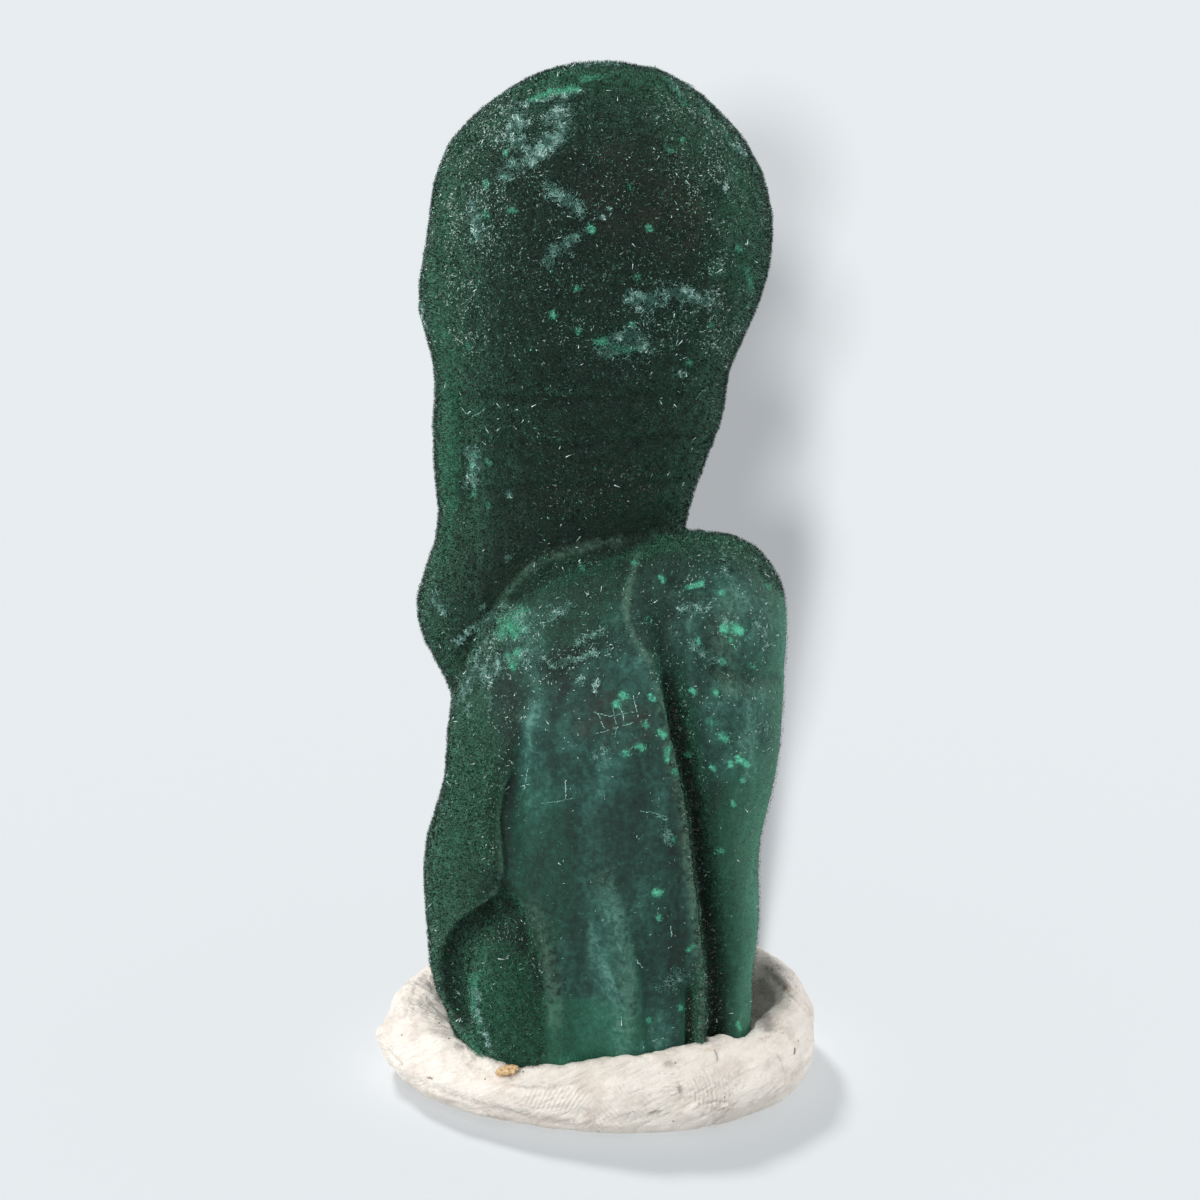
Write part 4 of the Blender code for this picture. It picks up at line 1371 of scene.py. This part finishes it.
def flecks(stone, numbers, samples, rows, seed):
    """Fragments of mint and frost that lie among the needles, in the marks and between them."""
    chance = np.random.default_rng(seed)
    groups = []
    for kind, middle, up, reach, strength in samples:
        if kind != "scratch":
            count = int(FLECKS[kind] * min(max(reach, 0.3) / 0.4, 2.2) + chance.random())
            middle, up = np.array(middle), np.array(up)
            groups.append(cluster(middle, up, reach, count, strength, kind, chance))
    points, normals = points_of(stone), directions_of(stone)
    drift = noise_over(points, 7)
    density = np.clip(0.5 + 1.6 * drift, 0.08, 2) * (1 - 0.9 * numbers["smooth"])
    density *= 0.4 + 1.2 * numbers["clump"]
    # Fewer flecks in the dark areas, which are partly painted shade
    density *= (points[:, 2] > 5) * (1 - 0.5 * numbers["dark_and_shade"])
    place, up, _, _ = scattered(stone, STREWN_COUNT, density, chance)
    tone = 0.05 + 0.95 * chance.random(STREWN_COUNT) ** 6
    groups.append((place, up, tone, chance.random(STREWN_COUNT) < 0.3))
    hidden = density * (normals[:, 1] > 0.1)
    middles, ups, _, _ = scattered(stone, HIDDEN_CLUSTERS, hidden, chance)
    for middle, up in zip(middles, ups):
        reach = chance.uniform(0.25, 1.2)
        kind = KINDS[int(chance.random() < 0.5)]
        count = int(20 * reach / 0.5)
        groups.append(cluster(middle, up, reach, count, chance.uniform(0.4, 1), kind, chance))
    place, up, tone, kind = (np.concatenate(part) for part in zip(*groups))
    count = len(place)
    turned = unit(up + chance.normal(size=(count, 3)) * 0.4)
    along = sideways(turned, chance)
    across = np.cross(turned, along)
    size = chance.uniform(0.045, 0.1, count) * (0.8 + 0.5 * tone)
    long, short = chance.uniform(1.0, 4.0, count), chance.uniform(0.7, 1.4, count)
    stretch = np.where(kind == 0, long, short)
    middle = place + up * chance.uniform(0.18, 0.36, count)[:, None]
    along = along * (size * stretch)[:, None]
    across = across * size[:, None] * 0.5
    corners = np.stack([middle - along - across, middle - along + across, middle + along], axis=1)
    corners = np.concatenate([corners, rows[0]])
    tone = np.concatenate([tone, rows[1]])
    kind = np.concatenate([kind, np.zeros(len(rows[1]))])
    kept = {"tone": tone, "mint": kind == 1, "spark": kind == 2}
    kept = {key: np.repeat(values, 3) for key, values in kept.items()}
    return triangles_object("flecks", corners, kept)


def fibre_material(name, stops, sheen):
    """Fibres whose colour follows their tone."""
    made, tree, shader = new_material(name)
    socket(ramp(tree, attribute(tree, "tone"), *stops), tree, shader.inputs["Base Color"])
    set_inputs(shader, Roughness=0.5, Specular_IOR_Level=0.4)
    set_inputs(shader, Sheen_Weight=sheen, Sheen_Roughness=0.4, Sheen_Tint=linear(SHEEN))
    return made


def fleck_material():
    """Mint and frost fragments."""
    made, tree, shader = new_material("malachite flecks")
    tone = attribute(tree, "tone")
    frost = ramp(tree, tone, (0.0, (54, 100, 86)), (0.3, (120, 172, 158)), (0.7, (220, 242, 236)))
    mint = ramp(tree, tone, (0.0, (34, 100, 76)), (0.4, (58, 160, 122)), (0.9, (120, 226, 186)))
    colour = mixed(tree, attribute(tree, "mint"), frost, mint)
    spark = ramp(tree, tone, (0.0, (96, 70, 62)), (0.5, (176, 160, 148)), (0.9, (232, 222, 212)))
    colour = mixed(tree, attribute(tree, "spark"), colour, spark)
    socket(colour, tree, shader.inputs["Base Color"])
    set_inputs(shader, Roughness=0.55)
    return made


def stone_material():
    """Dark velvet of packed needles, smoother and bluer on the middle of the front, with painted
    shade in its creases and painted highlights on its ridges and edges.
    """
    made, tree, shader = new_material("velvet malachite")
    place = in_mm(tree)
    needles = noise_at(tree, place, 3.4, 4.0, 0.75, 0.8)
    drift = noise_at(tree, place, 0.3, 4.0, 0.6, 0.5)
    shade = plus(tree, needles, times(tree, drift, 0.3))
    shade = plus(tree, shade, times(tree, attribute(tree, "pale"), 0.08))
    darks = (0.48, (1, 5, 4)), (0.62, (6, 20, 14)), (0.75, (20, 50, 37)), (0.92, (84, 118, 102))
    coarse = ramp(tree, shade, *darks)
    fine = noise_at(tree, place, 1.3, 8.0, 0.72, 0.4)
    upright = node(tree, "Mapping", Vector=place, Scale=(1.5, 1.5, 0.4))
    broad = noise_at(tree, upright.outputs[0], 0.12, 4.0, 0.55, 0.6)
    shade = plus(tree, times(tree, fine, 0.6), times(tree, broad, 0.8))
    shade = plus(tree, shade, times(tree, attribute(tree, "pale"), 0.12))
    blues = (0.55, (10, 30, 25)), (0.68, (22, 58, 49)), (0.8, (42, 88, 77)), (0.95, (92, 140, 128))
    colour = mixed(tree, attribute(tree, "smooth"), coarse, ramp(tree, shade, *blues))
    # Painted shade and highlight: the dark areas and deep lines darken the shaded neck, creases and
    # grooves, and the ridge lines and green areas lighten the ridges and edges, besides the stone's
    # own darker, greener and redder patches
    for kind, most, tint, broken_by in (
        ("green_and_rim_light", 0.65, (28, 104, 72), (needles, 0.3, 0.7)),
        ("dark_and_shade", 0.65, (8, 17, 14), None),
        ("red", 0.5, (58, 40, 36), (drift, 0.35, 0.6)),
        ("deep", 0.8, (7, 17, 13), None),
        ("ridge_and_highlight", 0.7, (98, 134, 114), (fine, 0.35, 0.6)),
    ):
        shown = attribute(tree, kind)
        if broken_by:
            shown = times(tree, shown, between(tree, *broken_by))
        colour = mixed(tree, times(tree, shown, most), colour, tint)
    uneven = calc(tree, "SUBTRACT", needles, 0.5)
    for kind, low, high, most, rough, shades in (
        ("frost", 0.3, 1.0, 0.7, 2.8, ((66, 118, 106), (172, 214, 204))),
        ("mint", 0.2, 0.9, 0.9, 1.2, ((34, 110, 86), (114, 228, 188))),
    ):
        mark = plus(tree, attribute(tree, kind), times(tree, uneven, rough))
        shown = times(tree, between(tree, mark, low, high), most)
        colour = mixed(tree, shown, colour, ramp(tree, mark, (low, shades[0]), (high, shades[1])))
    socket(colour, tree, shader.inputs["Base Color"])
    set_inputs(shader, Roughness=0.7, Specular_IOR_Level=0.35)
    set_inputs(shader, Sheen_Weight=0.6, Sheen_Roughness=0.4, Sheen_Tint=linear(SHEEN))
    rough = calc(tree, "SUBTRACT", 1.0, attribute(tree, "smooth"))
    depth = plus(tree, times(tree, rough, 0.85), 0.15)
    height = times(tree, needles, depth)
    socket(bump(tree, height, 0.9, 0.00025), tree, shader.inputs["Normal"])
    return made


def putty_material():
    """Kneaded putty: warm white with pores, a few stains and smudges of dirt, and painted shade in
    its creases and beside the stone.
    """
    made, tree, shader = new_material("kneaded putty")
    place = in_mm(tree)
    clouds = noise_at(tree, place, 0.28, 5.0, 0.65, 0.4)
    whites = (0.3, (222, 210, 198)), (0.5, (241, 232, 221)), (0.7, (246, 239, 229))
    colour = ramp(tree, clouds, *whites)
    fine = noise_at(tree, place, 2.6, 5.0, 0.7)
    specks = times(tree, between(tree, fine, 0.58, 0.78), 0.2)
    colour = mixed(tree, specks, colour, (200, 184, 168))
    # Painted shade in the creases and beside the stone, together with real smudges of dirt, darkens
    # the putty
    grime_and_shade = plus(tree, attribute(tree, "grime_and_shade"), calc(tree, "SUBTRACT", fine, 0.5))
    grime_and_shade = times(tree, between(tree, grime_and_shade, 0.05, 1.0), 0.75)
    colour = mixed(tree, grime_and_shade, colour, (112, 106, 98))
    rust = plus(tree, attribute(tree, "rust"), calc(tree, "SUBTRACT", fine, 0.55))
    rust = times(tree, between(tree, rust, 0.1, 0.9), 0.7)
    colour = mixed(tree, rust, colour, (196, 150, 96))
    cells = node(tree, "TexVoronoi", Vector=place, Scale=0.75)
    cell = node(tree, "SeparateColor", Color=cells.outputs["Color"]).outputs
    few = calc(tree, "GREATER_THAN", cell[0], 0.6)
    size = plus(tree, times(tree, cell[1], 0.07), 0.03)
    pore = times(tree, few, calc(tree, "LESS_THAN", cells.outputs["Distance"], size))
    pore = calc(tree, "MAXIMUM", pore, between(tree, attribute(tree, "dot"), 0.2, 0.5))
    colour = mixed(tree, times(tree, pore, 0.75), colour, (84, 76, 68))
    socket(colour, tree, shader.inputs["Base Color"])
    set_inputs(shader, Roughness=0.62, Specular_IOR_Level=0.3, Subsurface_Weight=0.12)
    set_inputs(shader, Subsurface_Radius=(0.001, 0.0007, 0.0005), Subsurface_Scale=0.6)
    turned = node(tree, "Mapping", Vector=place, Rotation=(0.25, 0.45, 0.1))
    drawn = node(tree, "Mapping", Vector=turned.outputs[0], Scale=(0.35, 0.35, 2.2))
    combed = noise_at(tree, drawn.outputs[0], 1.0, 4.0, 0.65, 0.9)
    height = calc(tree, "SUBTRACT", fine, times(tree, pore, 0.8))
    height = plus(tree, height, times(tree, combed, 1.6))
    height = plus(tree, height, times(tree, attribute(tree, "ridges"), 0.3))
    socket(bump(tree, height, 0.9, 0.0002), tree, shader.inputs["Normal"])
    return made


def rock_material():
    """Tan rock."""
    made, tree, shader = new_material("tan rock")
    place = in_mm(tree)
    grain = noise_at(tree, place, 3.0, 4.0, 0.7)
    tans = (0.3, (150, 112, 70)), (0.5, (200, 164, 116)), (0.7, (224, 200, 160))
    socket(ramp(tree, grain, *tans), tree, shader.inputs["Base Color"])
    set_inputs(shader, Roughness=0.7)
    socket(bump(tree, grain, 0.6, 0.0001), tree, shader.inputs["Normal"])
    return made


def floor():
    """A wide pale floor."""
    size = 4000
    corners = [(-size, -size, 0), (size, -size, 0), (size, size, 0), (-size, size, 0)]
    obj = mesh_object("floor", corners, [(0, 1, 2, 3)])
    made, _, shader = new_material("pale floor")
    set_inputs(shader, Base_Color=linear((181, 184, 186)), Roughness=0.9, Specular_IOR_Level=0.0)
    obj.data.materials.append(made)
    obj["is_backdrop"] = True
    stage = bpy.data.collections.new("stage")
    stage.objects.link(obj)
    return stage


def sun(name, bearing, height, strength, spread, on, shaded_by=None):
    """A far light that falls on one collection, and is stopped only by another if one is given.

    Its bearing is from the front towards the left. Its bearing, height and spread are in degrees.
    """
    light = bpy.data.lights.new(name, "SUN")
    light.energy = strength
    light.angle = math.radians(spread)
    obj = bpy.data.objects.new(name, light)
    bearing, height = math.radians(bearing), math.radians(height)
    level = math.cos(height)
    towards = Vector((-math.sin(bearing) * level, -math.cos(bearing) * level, math.sin(height)))
    obj.rotation_euler = towards.to_track_quat("Z", "Y").to_euler()
    obj.location = towards
    bpy.context.scene.collection.objects.link(obj)
    obj.light_linking.receiver_collection = on
    if shaded_by:
        obj.light_linking.blocker_collection = shaded_by


def light_and_camera(stage):
    """Soft light from all round, and the photograph's camera.

    Four lights fall on the pieces alone: a key and a fill from the upper left, and a rim light at
    either side. Three fall on the stage alone, and give the soft shadows beside the stone and
    before the putty. Returns the collections of the pieces that are lit, and of those that shade
    the stage.
    """
    world = bpy.data.worlds.new("studio")
    bpy.context.scene.world = world
    world.use_nodes = True
    background = world.node_tree.nodes["Background"]
    set_inputs(background, Color=linear((246, 250, 255)), Strength=0.42)
    lit_pieces, stone, putty = (bpy.data.collections.new(n) for n in ("lit", "stones", "putties"))
    sun("key", 26, 58, 0.85, 45, lit_pieces)
    sun("fill", 30, 30, 1.4, 30, lit_pieces)
    sun("left rim", 112, 22, 1.45, 40, lit_pieces)
    sun("right rim", -112, 22, 1.5, 40, lit_pieces)
    sun("low", 3.6, 11.2, 6.6, 2.0, stage, stone)
    sun("middle", 4.2, 15.0, 5.4, 2.4, stage, stone)
    sun("behind", 156, 36, 2.7, 10, stage, putty)
    scene = bpy.context.scene
    scene.view_settings.view_transform = "Standard"
    camera = bpy.data.cameras.new("camera")
    camera.sensor_width = SENSOR
    camera.lens = SENSOR * DISTANCE / FRAME
    camera.clip_start = 0.01
    camera.clip_end = 20
    obj = bpy.data.objects.new("camera", camera)
    obj.location = EYE * MM
    obj.rotation_euler = (-TOWARDS_CAMERA).to_track_quat("-Z", "Y").to_euler()
    scene.collection.objects.link(obj)
    scene.camera = obj
    return lit_pieces, stone, putty


def finished(obj, node_name, made):
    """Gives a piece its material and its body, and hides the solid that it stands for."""
    obj.data.materials.clear()
    obj.data.materials.append(made)
    smooth_shaded(obj)
    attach(obj, "root")
    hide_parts(node_name)


def main():
    """Builds the pieces, the stage and the light."""
    # Without a seed, the offsets in noise_vector follow the clock
    noise.seed_set(1)
    lit_pieces, shading_stone, shading_putty = light_and_camera(floor())
    stone = stone_skin()
    stone_tree = tree_of(stone)
    samples = mark_samples(stone_tree, np.random.default_rng(5))
    numbers = with_relief(stone, samples)
    finished(stone, "malachite", stone_material())
    needles = fibre_material("malachite needles", NEEDLES, 0.4)
    for name, seed in (("needles_a", 11), ("needles_b", 12)):
        standing = nap(name, stone, numbers, NEEDLE_COUNT, seed)
        finished(standing, "malachite", needles)
    lying = fibre_material("malachite strands", STRANDS, 0.1)
    for name, seed in (("strands_a", 31), ("strands_b", 32)):
        web = strands(name, stone, numbers, STRAND_COUNT, seed)
        finished(web, "malachite", lying)
    rows = scratches(stone_tree, np.random.default_rng(6))
    strewn = flecks(stone, numbers, samples, rows, 21)
    finished(strewn, "malachite", fleck_material())
    putty = putty_skin(stone_tree)
    kneaded_relief(putty, stone_tree)
    finished(putty, "putty", putty_material())
    finished(flake_of_rock(), "chip", rock_material())
    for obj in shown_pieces():
        lit_pieces.objects.link(obj)
        (shading_putty if obj.name == "kneaded_putty" else shading_stone).objects.link(obj)
    boxes = {"cad": cad_box, "scene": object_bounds()}
    boxes = {k: [[float(x) for x in corner] for corner in pair] for k, pair in boxes.items()}


main()
